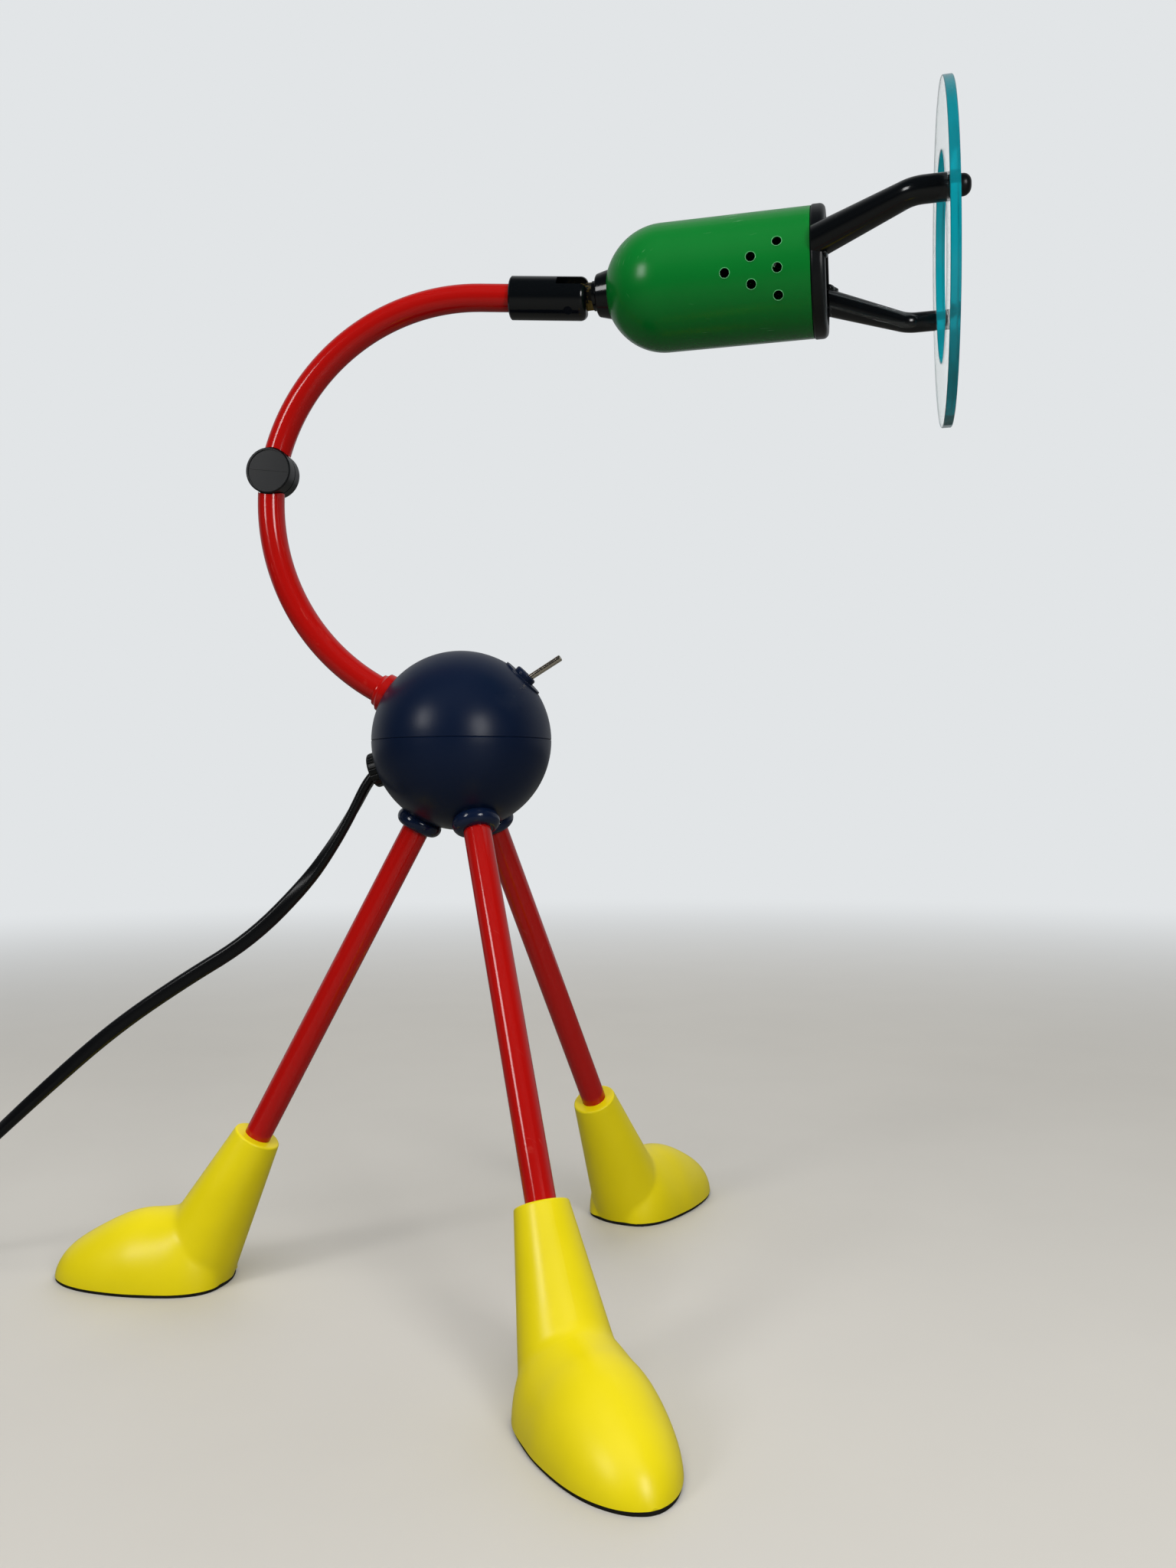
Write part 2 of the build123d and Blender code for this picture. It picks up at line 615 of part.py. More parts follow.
# Elbow: two knuckle halves on one pivot screw, each with a spigot in its tube
with BuildPart() as near_half:
    with BuildLine(ARM) as path:
        spigot_line(LOWER_BEND_R, LOWER_FROM, 1)
    with BuildSketch(Plane(origin=path.line @ 0, z_dir=path.line % 0)):
        Circle(BORE_R)
    sweep()
    with Locations(KNUCKLE.offset(KNUCKLE_GAP)):
        Cylinder(KNUCKLE_R + KNUCKLE_GAP, 2 * TUBE_R, align=DOWN, mode=Mode.SUBTRACT)
        Cylinder(KNUCKLE_R, NEAR_HALF - KNUCKLE_GAP, align=UP)
    chamfer(near_half.faces().sort_by(Axis.Y)[0].edges(), KNUCKLE_EDGE)
    dish_r = KNUCKLE_R - KNUCKLE_RIM
    with Locations(KNUCKLE.offset(NEAR_HALF)):
        Cylinder(dish_r, KNUCKLE_DISH, align=DOWN, mode=Mode.SUBTRACT)
    with Locations(KNUCKLE.offset(NEAR_HALF - KNUCKLE_DISH)):
        Box(2 * dish_r - KNUCKLE_DISH, PART_LINE, PART_LINE, rotation=(0, 0, PART_LINE_TURN))
    with BuildSketch(KNUCKLE.offset(KNUCKLE_GAP)):
        RegularPolygon(PIVOT_NUT_FLATS, 6, major_radius=False)
    extrude(amount=PIVOT_NUT_H, mode=Mode.SUBTRACT)
near_half.part.label = "elbow_near_half"
export_step(near_half.part, "parts/elbow_near_half.step")

with BuildPart() as far_half:
    with BuildLine(ARM) as path:
        spigot_line(UPPER_BEND_R, UPPER_FROM, -1)
    with BuildSketch(Plane(origin=path.line @ 0, z_dir=path.line % 0)):
        Circle(BORE_R)
    sweep()
    with Locations(KNUCKLE.offset(-KNUCKLE_GAP)):
        Cylinder(KNUCKLE_R + KNUCKLE_GAP, 2 * TUBE_R, align=UP, mode=Mode.SUBTRACT)
        Cylinder(KNUCKLE_R, FAR_HALF - KNUCKLE_GAP, align=DOWN)
    chamfer(far_half.faces().sort_by(Axis.Y)[-1].edges(), KNUCKLE_EDGE)
    with Locations(KNUCKLE):
        Cylinder(PIVOT_R + RUN_FIT, FAR_HALF, align=DOWN, mode=Mode.SUBTRACT)
    with Locations(KNUCKLE.offset(-FAR_HALF)):
        Cylinder(PIVOT_HEAD_R + KNUCKLE_GAP, PIVOT_HEAD_H + RUN_FIT, align=UP, mode=Mode.SUBTRACT)
far_half.part.label = "elbow_far_half"
export_step(far_half.part, "parts/elbow_far_half.step")

with BuildPart() as elbow_screw:
    with Locations(KNUCKLE.offset(-FAR_HALF)):
        Cylinder(PIVOT_HEAD_R, PIVOT_HEAD_H, align=UP)
        Cylinder(PIVOT_R, FAR_HALF + KNUCKLE_GAP + PIVOT_NUT_H, align=UP)
        Box(*PIVOT_SLOT, mode=Mode.SUBTRACT)
elbow_screw.part.label = "elbow_screw"
export_step(elbow_screw.part, "parts/elbow_screw.step")

with BuildPart() as elbow_nut:
    with BuildSketch(KNUCKLE.offset(KNUCKLE_GAP)):
        RegularPolygon(PIVOT_NUT_FLATS, 6, major_radius=False)
        Circle(PIVOT_R, mode=Mode.SUBTRACT)
    extrude(amount=PIVOT_NUT_H)
elbow_nut.part.label = "elbow_nut"
export_step(elbow_nut.part, "parts/elbow_nut.step")

with BuildPart() as elbow_washer:
    with BuildSketch(KNUCKLE.offset(RUN_FIT - KNUCKLE_GAP)):
        Circle(FRICTION_WASHER_R)
        Circle(PIVOT_R, mode=Mode.SUBTRACT)
    extrude(amount=2 * KNUCKLE_GAP - RUN_FIT)
elbow_washer.part.label = "elbow_washer"
export_step(elbow_washer.part, "parts/elbow_washer.step")

# Upper arm: a bent tube with a groove that holds the barrel
BARREL_BACK = BARREL_LENGTH - PIN_BACK
with BuildPart() as upper_tube:
    with BuildLine(ARM) as path:
        upper_line()
    with BuildSketch(Plane(origin=path.line @ 0, z_dir=path.line % 0)):
        Circle(TUBE_R)
        Circle(BORE_R, mode=Mode.SUBTRACT)
    sweep()
    with Locations(KNUCKLE):
        Cylinder(KNUCKLE_R + KNUCKLE_GAP, 4 * TUBE_R, mode=Mode.SUBTRACT)
    with BuildSketch(BARREL.offset(-GRUB_FROM_PIN - GROOVE_WIDTH / 2)):
        Circle(BARREL_R)
        Circle(TUBE_R - GROOVE_DEPTH, mode=Mode.SUBTRACT)
    extrude(amount=GROOVE_WIDTH, mode=Mode.SUBTRACT)
upper_tube.part.label = "arm_upper_tube"
export_step(upper_tube.part, "parts/arm_upper_tube.step")

# Swivel barrel: a sleeve on the tube, a fork for the tongue, and its grub screw and pin
with BuildPart() as barrel:
    with Locations(BARREL.offset(-BARREL_BACK)):
        Cylinder(BARREL_R, BARREL_LENGTH, align=UP)
        ends = barrel.edges().filter_by(GeomType.CIRCLE).sort_by(Axis.X)
        fillet(ends[-1], BARREL_NOSE)
        chamfer(ends[0], BARREL_EDGE)
        Cylinder(TUBE_R + RUN_FIT, TUBE_IN_BARREL + KNUCKLE_GAP, align=UP, mode=Mode.SUBTRACT)
        Cylinder(WIRE_R, BARREL_LENGTH, align=UP, mode=Mode.SUBTRACT)
    with Locations(BARREL.offset(PIN_BACK)):
        Box(4 * BARREL_R, SLOT_WIDTH, SLOT_DEPTH, align=DOWN, mode=Mode.SUBTRACT)
    with Locations(BARREL):
        Cylinder(PIN_R, 4 * BARREL_R, rotation=(90, 0, 0), mode=Mode.SUBTRACT)
    with Locations(BARREL.offset(-GRUB_FROM_PIN)):
        Cylinder(GRUB_R, 2 * BARREL_R, rotation=(90, 0, 0), align=UP, mode=Mode.SUBTRACT)
barrel.part.label = "swivel_barrel"
export_step(barrel.part, "parts/swivel_barrel.step")

with BuildPart() as grub_screw:
    with Locations(BARREL.offset(-GRUB_FROM_PIN)):
        Cylinder(GRUB_R, BARREL_R - GRUB_SUNK, rotation=(90, 0, 0), align=UP)
        Cylinder(TUBE_R - GROOVE_DEPTH + 2 * RUN_FIT, 4 * GRUB_R, mode=Mode.SUBTRACT)
grub_screw.part.label = "barrel_grub_screw"
export_step(grub_screw.part, "parts/barrel_grub_screw.step")

with BuildPart() as pin:
    with Locations(BARREL):
        Cylinder(PIN_R, 2 * (BARREL_R - PIN_SUNK), rotation=(90, 0, 0))
pin.part.label = "swivel_pin"
export_step(pin.part, "parts/swivel_pin.step")

# Tongue of the head, with the threaded stem that holds the cup
with BuildPart() as tongue:
    with Locations(HEAD):
        Cylinder(TONGUE_HALF, TONGUE_T, rotation=(90, 0, 0))
        Box(2 * TONGUE_HALF, TONGUE_T, STEP_AT, align=UP)
        Cylinder(PIN_R + RUN_FIT, 2 * TONGUE_T, rotation=(90, 0, 0), mode=Mode.SUBTRACT)
    with Locations(HEAD.offset(STEP_AT)):
        Cylinder(STEM_R, STEM_END - STEP_AT, align=UP)
        Cylinder(STEM_R / 2, STEM_END - STEP_AT, align=UP, mode=Mode.SUBTRACT)
tongue.part.label = "swivel_tongue"
export_step(tongue.part, "parts/swivel_tongue.step")

with BuildPart() as step_ring:
    with BuildSketch(HEAD.offset(STEP_AT)):
        Circle(STEP_R)
        Circle(STEM_R, mode=Mode.SUBTRACT)
    extrude(amount=CONE_AT - STEP_AT)
step_ring.part.label = "swivel_step_ring"
export_step(step_ring.part, "parts/swivel_step_ring.step")

# Cup with a round back, its seat washer and the nuts on the stem
DOME_CENTRE = CUP_APEX + CUP_R
cup_ball = HEAD.offset(DOME_CENTRE).location * Sphere(CUP_R)
cup_inside = HEAD.offset(DOME_CENTRE).location * Sphere(CUP_R - CUP_WALL)
cone_seat = DOME_CENTRE - sqrt(CUP_R**2 - CONE_R2**2)
with BuildPart() as cone_washer:
    with Locations(HEAD.offset(CONE_AT)):
        Cone(CONE_R1, CONE_R2, cone_seat - CONE_AT, align=UP)
        fillet(cone_washer.edges().filter_by(GeomType.CIRCLE).sort_by(HEAD_AXIS)[0], CONE_EDGE)
        Cylinder(STEM_R, BARREL_LENGTH, align=UP, mode=Mode.SUBTRACT)
    add(cup_ball, mode=Mode.SUBTRACT)
cone_washer.part.label = "swivel_cone_washer"
export_step(cone_washer.part, "parts/swivel_cone_washer.step")

with BuildPart() as cup:
    with Locations(HEAD.offset(DOME_CENTRE)):
        Sphere(CUP_R)
        Cylinder(CUP_R, CUP_RIM - DOME_CENTRE, align=UP)
        Sphere(CUP_R - CUP_WALL, mode=Mode.SUBTRACT)
        Cylinder(CUP_R - CUP_WALL, CUP_RIM - DOME_CENTRE, align=UP, mode=Mode.SUBTRACT)
    with Locations(HEAD):
        Cylinder(STEM_R, DOME_CENTRE, align=UP, mode=Mode.SUBTRACT)
    # Vents in rows of one, two and three, on both sides of the cup
    vent_step = degrees(VENT_PITCH / CUP_R)
    for row in range(3):
        for place in range(row + 1):
            angle = VENT_ANGLE + (place - row / 2) * vent_step
            with Locations(HEAD.offset(VENT_FIRST + row * VENT_PITCH)):
                with Locations(Rotation(0, 0, angle)):
                    Cylinder(VENT_R, 4 * CUP_R, rotation=(0, 90, 0), mode=Mode.SUBTRACT)
cup.part.label = "lamp_cup"
export_step(cup.part, "parts/lamp_cup.step")

BRACKET_AT = CUP_APEX + CUP_WALL + STEM_NUT_H
with BuildPart() as stem_nuts:
    with BuildSketch(HEAD.offset(CUP_APEX)):
        RegularPolygon(STEM_NUT_FLATS, 6, major_radius=False)
        Circle(STEM_R, mode=Mode.SUBTRACT)
    extrude(amount=BRACKET_AT - CUP_APEX)
    add(cup_inside, mode=Mode.INTERSECT)
    with BuildSketch(HEAD.offset(BRACKET_AT + BRACKET_T)):
        RegularPolygon(STEM_NUT_FLATS, 6, major_radius=False)
        Circle(STEM_R, mode=Mode.SUBTRACT)
    extrude(amount=STEM_END - BRACKET_AT - BRACKET_T)
stem_nuts.part.label = "stem_nuts"
export_step(stem_nuts.part, "parts/stem_nuts.step")

# Lampholder on its strap, and the reflector bulb
with BuildPart() as strap:
    with Locations(HEAD.offset(BRACKET_AT)):
        Box(2 * BRACKET_HALF, BRACKET_WIDTH, HOLDER_TO - BRACKET_AT, align=UP)
        with Locations((0, 0, BRACKET_T)):
            Box(2 * (BRACKET_HALF - BRACKET_T), 2 * BRACKET_WIDTH, HOLDER_TO, align=UP, mode=Mode.SUBTRACT)
        Cylinder(STEM_R, BRACKET_T, align=UP, mode=Mode.SUBTRACT)
strap.part.label = "lampholder_strap"
export_step(strap.part, "parts/lampholder_strap.step")

with BuildPart() as holder:
    with Locations(HEAD.offset(HOLDER_FROM)):
        Box(2 * (BRACKET_HALF - BRACKET_T), HOLDER_WIDTH, HOLDER_TO - HOLDER_FROM, align=UP)
    with Locations(HEAD.offset(HOLDER_TO)):
        with GridLocations(PIN_SPREAD, 0, 2, 1):
            Cylinder(BULB_PIN_R, BULB_PIN_LENGTH + 1, align=DOWN, mode=Mode.SUBTRACT)
holder.part.label = "lampholder"
export_step(holder.part, "parts/lampholder.step")

with BuildPart() as reflector:
    with BuildSketch(Plane(origin=HEAD.origin, x_dir=HEAD.x_dir, z_dir=HEAD.y_dir * -1)):
        with BuildLine():
            Spline(
                (BULB_R, BULB_FRONT - BULB_RIM),
                BULB_WAIST,
                (BULB_BASE_R, BULB_NECK),
                tangents=((-0.2, -1), (-0.6, -1)),
            )
            Spline(
                (BULB_R - BULB_WALL, BULB_FRONT),
                (BULB_WAIST[0] - BULB_WALL, BULB_WAIST[1]),
                (BULB_BASE_R - BULB_WALL, BULB_FLOOR),
                tangents=((-0.3, -1), (-0.6, -1)),
            )
            Polyline(
                (BULB_R - BULB_WALL, BULB_FRONT),
                (BULB_R, BULB_FRONT),
                (BULB_R, BULB_FRONT - BULB_RIM),
            )
            Polyline(
                (BULB_BASE_R, BULB_NECK),
                (BULB_BASE_R, HOLDER_TO),
                (0, HOLDER_TO),
                (0, BULB_FLOOR),
                (BULB_BASE_R - BULB_WALL, BULB_FLOOR),
            )
        make_face()
    revolve(axis=HEAD_AXIS)
reflector.part.label = "bulb_reflector"
export_step(reflector.part, "parts/bulb_reflector.step")

with BuildPart() as capsule:
    with Locations(HEAD.offset(BULB_FLOOR)):
        Cylinder(CAPSULE_R, CAPSULE_LENGTH, align=UP)
        fillet(capsule.faces().sort_by(Axis.X)[-1].edges(), CAPSULE_TIP)
capsule.part.label = "bulb_capsule"
export_step(capsule.part, "parts/bulb_capsule.step")

with BuildPart() as bulb_pins:
    with Locations(HEAD.offset(HOLDER_TO)):
        with GridLocations(PIN_SPREAD, 0, 2, 1):
            Cylinder(BULB_PIN_R, BULB_PIN_LENGTH, align=DOWN)
bulb_pins.part.label = "bulb_pins"
export_step(bulb_pins.part, "parts/bulb_pins.step")

# Front ring that holds the bulb, and the two welded prongs that carry the glass
with BuildPart() as front_ring:
    with Locations(HEAD.offset(CUP_RIM)):
        Cylinder(RING_R, RING_FRONT - CUP_RIM, align=UP)
        rims = front_ring.edges().filter_by(GeomType.CIRCLE).sort_by(Axis.X)
        fillet(rims[-1], RING_EDGE)
        fillet(rims[0], RING_EDGE / 2)
    with Locations(HEAD.offset(BULB_FRONT)):
        Cylinder(SPIGOT_R, CUP_RIM - BULB_FRONT + RING_EDGE, align=UP)
        Cylinder(RING_OPENING_R, 4 * RING_EDGE + RING_FRONT - BULB_FRONT, align=UP, mode=Mode.SUBTRACT)
front_ring.part.label = "front_ring"
export_step(front_ring.part, "parts/front_ring.step")


PRONG_LEAN = atan2(PRONG_REACH - PRONG_ROOT_R, PRONG_BEND_AT - RING_FRONT)
PRONG_TANGENT = PRONG_BEND_R * tan(PRONG_LEAN / 2)
PRONG_STRAIGHT = (PRONG_REACH - PRONG_ROOT_R) / sin(PRONG_LEAN) - PRONG_TANGENT
for name, angle in {"near": PRONG_ANGLE, "far": PRONG_ANGLE + 180}.items():
    radial_x, radial_y = polar(1, angle)
    radial = HEAD.x_dir * radial_x + HEAD.y_dir * radial_y
    # Local x is the distance from the head's axis, local y runs along it
    side = Plane(origin=HEAD.origin, x_dir=radial, z_dir=radial.cross(HEAD.z_dir))
    bend_end = (PRONG_REACH, PRONG_BEND_AT + PRONG_TANGENT)
    with BuildPart() as prong:
        with BuildLine(side) as path:
            bend_middle = (PRONG_REACH - PRONG_BEND_R, bend_end[1])
            CenterArc(bend_middle, PRONG_BEND_R, -degrees(PRONG_LEAN), degrees(PRONG_LEAN))
            Line(bend_end, (PRONG_REACH, GLASS_AT))
        with BuildSketch(Plane(origin=path.line @ 0, z_dir=path.line % 0)):
            Circle(PRONG_WIRE[name])
        sweep()
        root_way = path.line % 0
        root_at = side.from_local_coords((PRONG_ROOT_R, RING_FRONT)) - root_way * PRONG_WRAP
        with Locations(Plane(origin=root_at, z_dir=root_way)):
            Cone(PRONG_ROOT_WIRE[name], PRONG_WIRE[name], PRONG_STRAIGHT + PRONG_WRAP, align=UP)
        split(bisect_by=HEAD.offset(CUP_RIM + PRONG_BACK), keep=Keep.TOP)
        with Locations(HEAD):
            Cylinder(RING_OPENING_R, RING_FRONT, align=UP, mode=Mode.SUBTRACT)
        add(front_ring.part, mode=Mode.SUBTRACT)
        with Locations(HEAD.offset(GLASS_AT)):
            with Locations(polar(PRONG_REACH, angle)):
                Cylinder(GLASS_SCREW_R, GLASS_SCREW_DEPTH, align=DOWN, mode=Mode.SUBTRACT)
    prong.part.label = f"prong_{name}"
    export_step(prong.part, f"parts/prong_{name}.step")

# Glass ring on two screws with domed nuts
SCREW_PLACES = (polar(PRONG_REACH, PRONG_ANGLE), polar(PRONG_REACH, PRONG_ANGLE + 180))
with BuildPart() as glass:
    with BuildSketch(HEAD.offset(GLASS_AT)):
        Circle(GLASS_R)
        Circle(GLASS_HOLE_R, mode=Mode.SUBTRACT)
        with Locations(*SCREW_PLACES):
            Circle(GLASS_SCREW_HOLE_R, mode=Mode.SUBTRACT)
    extrude(amount=GLASS_T)
    rims = glass.edges().filter_by(GeomType.CIRCLE).filter_by(lambda edge: edge.radius > 2 * GLASS_SCREW_R)
    chamfer(rims, GLASS_ARRIS)
glass.part.label = "glass_ring"
export_step(glass.part, "parts/glass_ring.step")

GLASS_FRONT = GLASS_AT + GLASS_T
with BuildPart() as glass_screws:
    with Locations(HEAD.offset(GLASS_AT - GLASS_SCREW_DEPTH)):
        with Locations(*SCREW_PLACES):
            Cylinder(GLASS_SCREW_R, GLASS_SCREW_DEPTH + GLASS_T + CAP_BORE, align=UP)
glass_screws.part.label = "glass_screws"
export_step(glass_screws.part, "parts/glass_screws.step")

with BuildPart() as cap_nuts:
    with Locations(HEAD.offset(GLASS_FRONT)):
        with Locations(*SCREW_PLACES):
            Cylinder(CAP_R, CAP_H, align=UP)
            fillet(cap_nuts.faces().sort_by(HEAD_AXIS)[-2:].edges(), CAP_DOME)
            Cylinder(GLASS_SCREW_R, CAP_BORE, align=UP, mode=Mode.SUBTRACT)
cap_nuts.part.label = "glass_cap_nuts"
export_step(cap_nuts.part, "parts/glass_cap_nuts.step")

# Toggle switch on a flat of the ball
with BuildPart() as seat_plate:
    with BuildSketch(SWITCH.offset(SEAT_AT)):
        Circle(SEAT_R)
        Circle(BUSHING_R, mode=Mode.SUBTRACT)
    extrude(amount=SEAT_T)
    chamfer(seat_plate.edges().sort_by(Axis(SWITCH.origin, SWITCH.z_dir))[-1], SEAM)
seat_plate.part.label = "switch_plate"
export_step(seat_plate.part, "parts/switch_plate.step")

with BuildPart() as switch_nut:
    with BuildSketch(SWITCH.offset(SEAT_AT + SEAT_T)):
        Circle(SWITCH_NUT_R)
    extrude(amount=SWITCH_NUT_H)
    fillet(switch_nut.edges().sort_by(Axis(SWITCH.origin, SWITCH.z_dir))[-1], SWITCH_NUT_ROUND)
    with Locations(SWITCH):
        Cylinder(BUSHING_R, BUSHING_TOP, align=UP, mode=Mode.SUBTRACT)
    with BuildSketch(SWITCH):
        SlotOverall(LEVER_MOUTH[1], LEVER_MOUTH[0], rotation=90)
    extrude(amount=2 * BALL_R, mode=Mode.SUBTRACT)
switch_nut.part.label = "switch_nut"
export_step(switch_nut.part, "parts/switch_nut.step")

with BuildPart() as switch_body:
    with Locations(SWITCH.offset(SWITCH_PAD_AT)):
        Box(*SWITCH_BODY, align=DOWN)
        Cylinder(BUSHING_R, BUSHING_TOP - SWITCH_PAD_AT, align=UP)
    with BuildSketch(SWITCH.offset(LEVER_FLOOR)):
        SlotOverall(LEVER_ROOM[1], LEVER_ROOM[0], rotation=90)
    extrude(amount=BALL_R, mode=Mode.SUBTRACT)
    with Locations(LEVER):
        hole_r = LEVER_PIN_R + LEVER_PLAY
        hole_length = LEVER_PIN_LENGTH + 2 * LEVER_PLAY
        Cylinder(hole_r, hole_length, rotation=(0, 90, 0), mode=Mode.SUBTRACT)
switch_body.part.label = "switch_body"
export_step(switch_body.part, "parts/switch_body.step")

with BuildPart() as lever:
    with Locations(LEVER):
        Cone(LEVER_R1, LEVER_R2, LEVER_LENGTH, align=UP)
        fillet(lever.faces().sort_by(Axis(LEVER.origin, LEVER.z_dir))[-1].edges(), LEVER_TIP)
        Sphere(LEVER_BALL_R)
        Cylinder(LEVER_PIN_R, LEVER_PIN_LENGTH, rotation=(0, 90, 0))
lever.part.label = "switch_lever"
export_step(lever.part, "parts/switch_lever.step")

# Cord from the gland to the floor, drawn as a round tube along straight runs and arcs
with BuildPart() as cord_lead:
    with BuildLine() as path:
        FilletPolyline(*CORD_ROUTE, radius=bend_radii(CORD_ROUTE))
    with BuildSketch(Plane(origin=path.line @ 0, z_dir=path.line % 0)):
        Circle(CORD_R)
    sweep()
cord_lead.part.label = "cord_lead"
export_step(cord_lead.part, "parts/cord_lead.step")

# Gland: a ribbed flange outside the shell and a rim inside it, moulded round the cord
with BuildPart() as gland_flange:
    with Locations(GLAND.offset(GLAND_INNER)):
        Cylinder(GLAND_R, GLAND_TOP - GLAND_INNER, align=UP)
        fillet(gland_flange.faces().sort_by(Axis.X)[0].edges(), GLAND_EDGE)
        with PolarLocations(GLAND_R, GLAND_RIBS):
            Cylinder(GLAND_RIB_R, BALL_R, mode=Mode.SUBTRACT)
    add(BALL_SOLID, mode=Mode.SUBTRACT)

with BuildPart() as gland:
    with Locations(GLAND.offset(GLAND_INNER)):
        Cylinder(GLAND_RIM_R, BALL_R - GLAND_INNER, align=UP)
    add(BALL_INSIDE, mode=Mode.INTERSECT)
    with Locations(GLAND.offset(GLAND_INNER)):
        Cylinder(GLAND_NECK_R, GLAND_TOP - GLAND_INNER, align=UP)
    add(gland_flange.part)
    add(lower_shell.part, mode=Mode.SUBTRACT)
    add(cord_lead.part, mode=Mode.SUBTRACT)
gland.part.label = "cord_gland"
export_step(gland.part, "parts/cord_gland.step")

# The rest of the cord lies coiled on the floor, tied once, with the plug on top
COIL = Plane((*COIL_CENTRE, COIL_BASE))
with BuildPart() as coil:
    with BuildSketch(COIL):
        Circle(COIL_R2)
        Circle(COIL_R1, mode=Mode.SUBTRACT)
    extrude(amount=COIL_TOP - COIL_BASE)
    fillet(coil.edges().filter_by(GeomType.CIRCLE), COIL_EDGE)
coil.part.label = "cord_coil"
export_step(coil.part, "parts/cord_coil.step")

with BuildPart() as tie:
    with Locations(COIL.offset(-TIE_T)):
        with Locations(Rotation(0, 0, TIE_ANGLE)):
            with Locations(((COIL_R1 + COIL_R2) / 2, 0)):
                Box(COIL_R2 - COIL_R1 + 2 * TIE_T, TIE_WIDTH, COIL_TOP - COIL_BASE + 2 * TIE_T, align=UP)
                fillet(tie.edges().filter_by(Axis(COIL.origin, (*polar(1, TIE_ANGLE + 90), 0))), COIL_EDGE)
    add(coil.part, mode=Mode.SUBTRACT)
tie.part.label = "cord_tie"
export_step(tie.part, "parts/cord_tie.step")

with BuildPart() as cord_tail:
    with BuildLine() as path:
        FilletPolyline(*CORD_TAIL, radius=bend_radii(CORD_TAIL))
    with BuildSketch(Plane(origin=path.line @ 0, z_dir=path.line % 0)):
        Circle(CORD_R)
    sweep()
cord_tail.part.label = "cord_tail"
export_step(cord_tail.part, "parts/cord_tail.step")

PLUG = Plane(CORD_TAIL[-1])
with BuildPart() as plug_body:
    with BuildSketch(PLUG.offset(-PLUG_T / 2)):
        with BuildLine():
            Polyline(
                (-PLUG_REAR / 2, 0),
                (-PLUG_WIDTH / 2, PLUG_SHOULDER),
                (-PLUG_WIDTH / 2, PLUG_LENGTH),
                (PLUG_WIDTH / 2, PLUG_LENGTH),
                (PLUG_WIDTH / 2, PLUG_SHOULDER),
                (PLUG_REAR / 2, 0),
                close=True,
            )
        make_face()
    extrude(amount=PLUG_T)
    fillet(plug_body.faces().filter_by(Axis.Z).edges(), PLUG_EDGE)
plug_body.part.label = "plug_body"
export_step(plug_body.part, "parts/plug_body.step")

with BuildPart() as plug_pins:
    plug_face = PLUG.origin + Vector(0, PLUG_LENGTH, 0)
    with BuildSketch(Plane(origin=plug_face, x_dir=(1, 0, 0), z_dir=(0, 1, 0))):
        with GridLocations(PLUG_PIN_SPREAD, 0, 2, 1):
            Circle(PLUG_PIN_R)
    extrude(amount=PLUG_PIN_LENGTH)
plug_pins.part.label = "plug_pins"
export_step(plug_pins.part, "parts/plug_pins.step")
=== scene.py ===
"""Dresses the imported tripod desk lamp: its finishes, cord and small fittings, and the studio around it."""
import json
import math
import random

import bmesh
import bpy
from bpy.props import FloatProperty, FloatVectorProperty, IntProperty, PointerProperty
from mathutils import Euler, Matrix, Vector


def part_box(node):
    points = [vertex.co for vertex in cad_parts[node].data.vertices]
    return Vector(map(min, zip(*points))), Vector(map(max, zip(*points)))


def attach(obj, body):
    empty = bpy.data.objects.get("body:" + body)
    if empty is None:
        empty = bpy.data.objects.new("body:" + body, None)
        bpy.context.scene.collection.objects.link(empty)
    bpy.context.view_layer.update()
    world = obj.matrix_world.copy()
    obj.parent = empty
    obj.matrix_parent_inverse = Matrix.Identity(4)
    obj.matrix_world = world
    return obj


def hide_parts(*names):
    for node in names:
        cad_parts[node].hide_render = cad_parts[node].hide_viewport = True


bl_info = {
    "name": "Tripod desk lamp",
    "version": (1, 1, 0),
    "blender": (4, 5, 0),
    "location": "View3D > Sidebar > Lamp",
    "description": "Finishes, cord, fittings and studio for a ball-bodied desk lamp on three legs",
    "category": "Object",
}

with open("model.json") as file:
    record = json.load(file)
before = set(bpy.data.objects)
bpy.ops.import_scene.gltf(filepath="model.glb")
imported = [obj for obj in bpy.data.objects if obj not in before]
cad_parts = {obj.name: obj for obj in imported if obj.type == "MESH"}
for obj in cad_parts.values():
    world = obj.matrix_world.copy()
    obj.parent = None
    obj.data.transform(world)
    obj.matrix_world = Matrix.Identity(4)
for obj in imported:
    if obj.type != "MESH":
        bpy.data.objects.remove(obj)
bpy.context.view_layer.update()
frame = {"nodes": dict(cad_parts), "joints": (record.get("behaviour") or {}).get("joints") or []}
NODES = frame["nodes"]
MM = 0.001
LEGS = ("left", "front", "rear")

# The head's own axes: its tilt pin, the way it points at rest, and the two ways across
HEAD_TILT = next(joint for joint in frame["joints"] if joint["name"] == "head_tilt")
TILT_PIN = Vector(HEAD_TILT["pos_m"])
HEAD_AXIS = Vector((0.995103, -0.098452, 0.008799)).normalized()
HEAD_Y = Vector(HEAD_TILT["axis"]).normalized()
HEAD_X = HEAD_Y.cross(HEAD_AXIS)


def linear(code):
    """The linear colour of an sRGB hex code."""
    values = [int(code[i:i + 2], 16) / 255 for i in (0, 2, 4)]
    return tuple(v / 12.92 if v <= 0.04045 else ((v + 0.055) / 1.055) ** 2.4 for v in values)


def colour(name, code, words):
    """A colour that a user may change."""
    return FloatVectorProperty(
        name=name, description=words, subtype="COLOR", size=3, min=0, max=1, default=linear(code)
    )


def length(name, millimetres, words):
    """A length that a user may change."""
    return FloatProperty(name=name, description=words, default=millimetres * MM, min=0.0, unit="LENGTH")


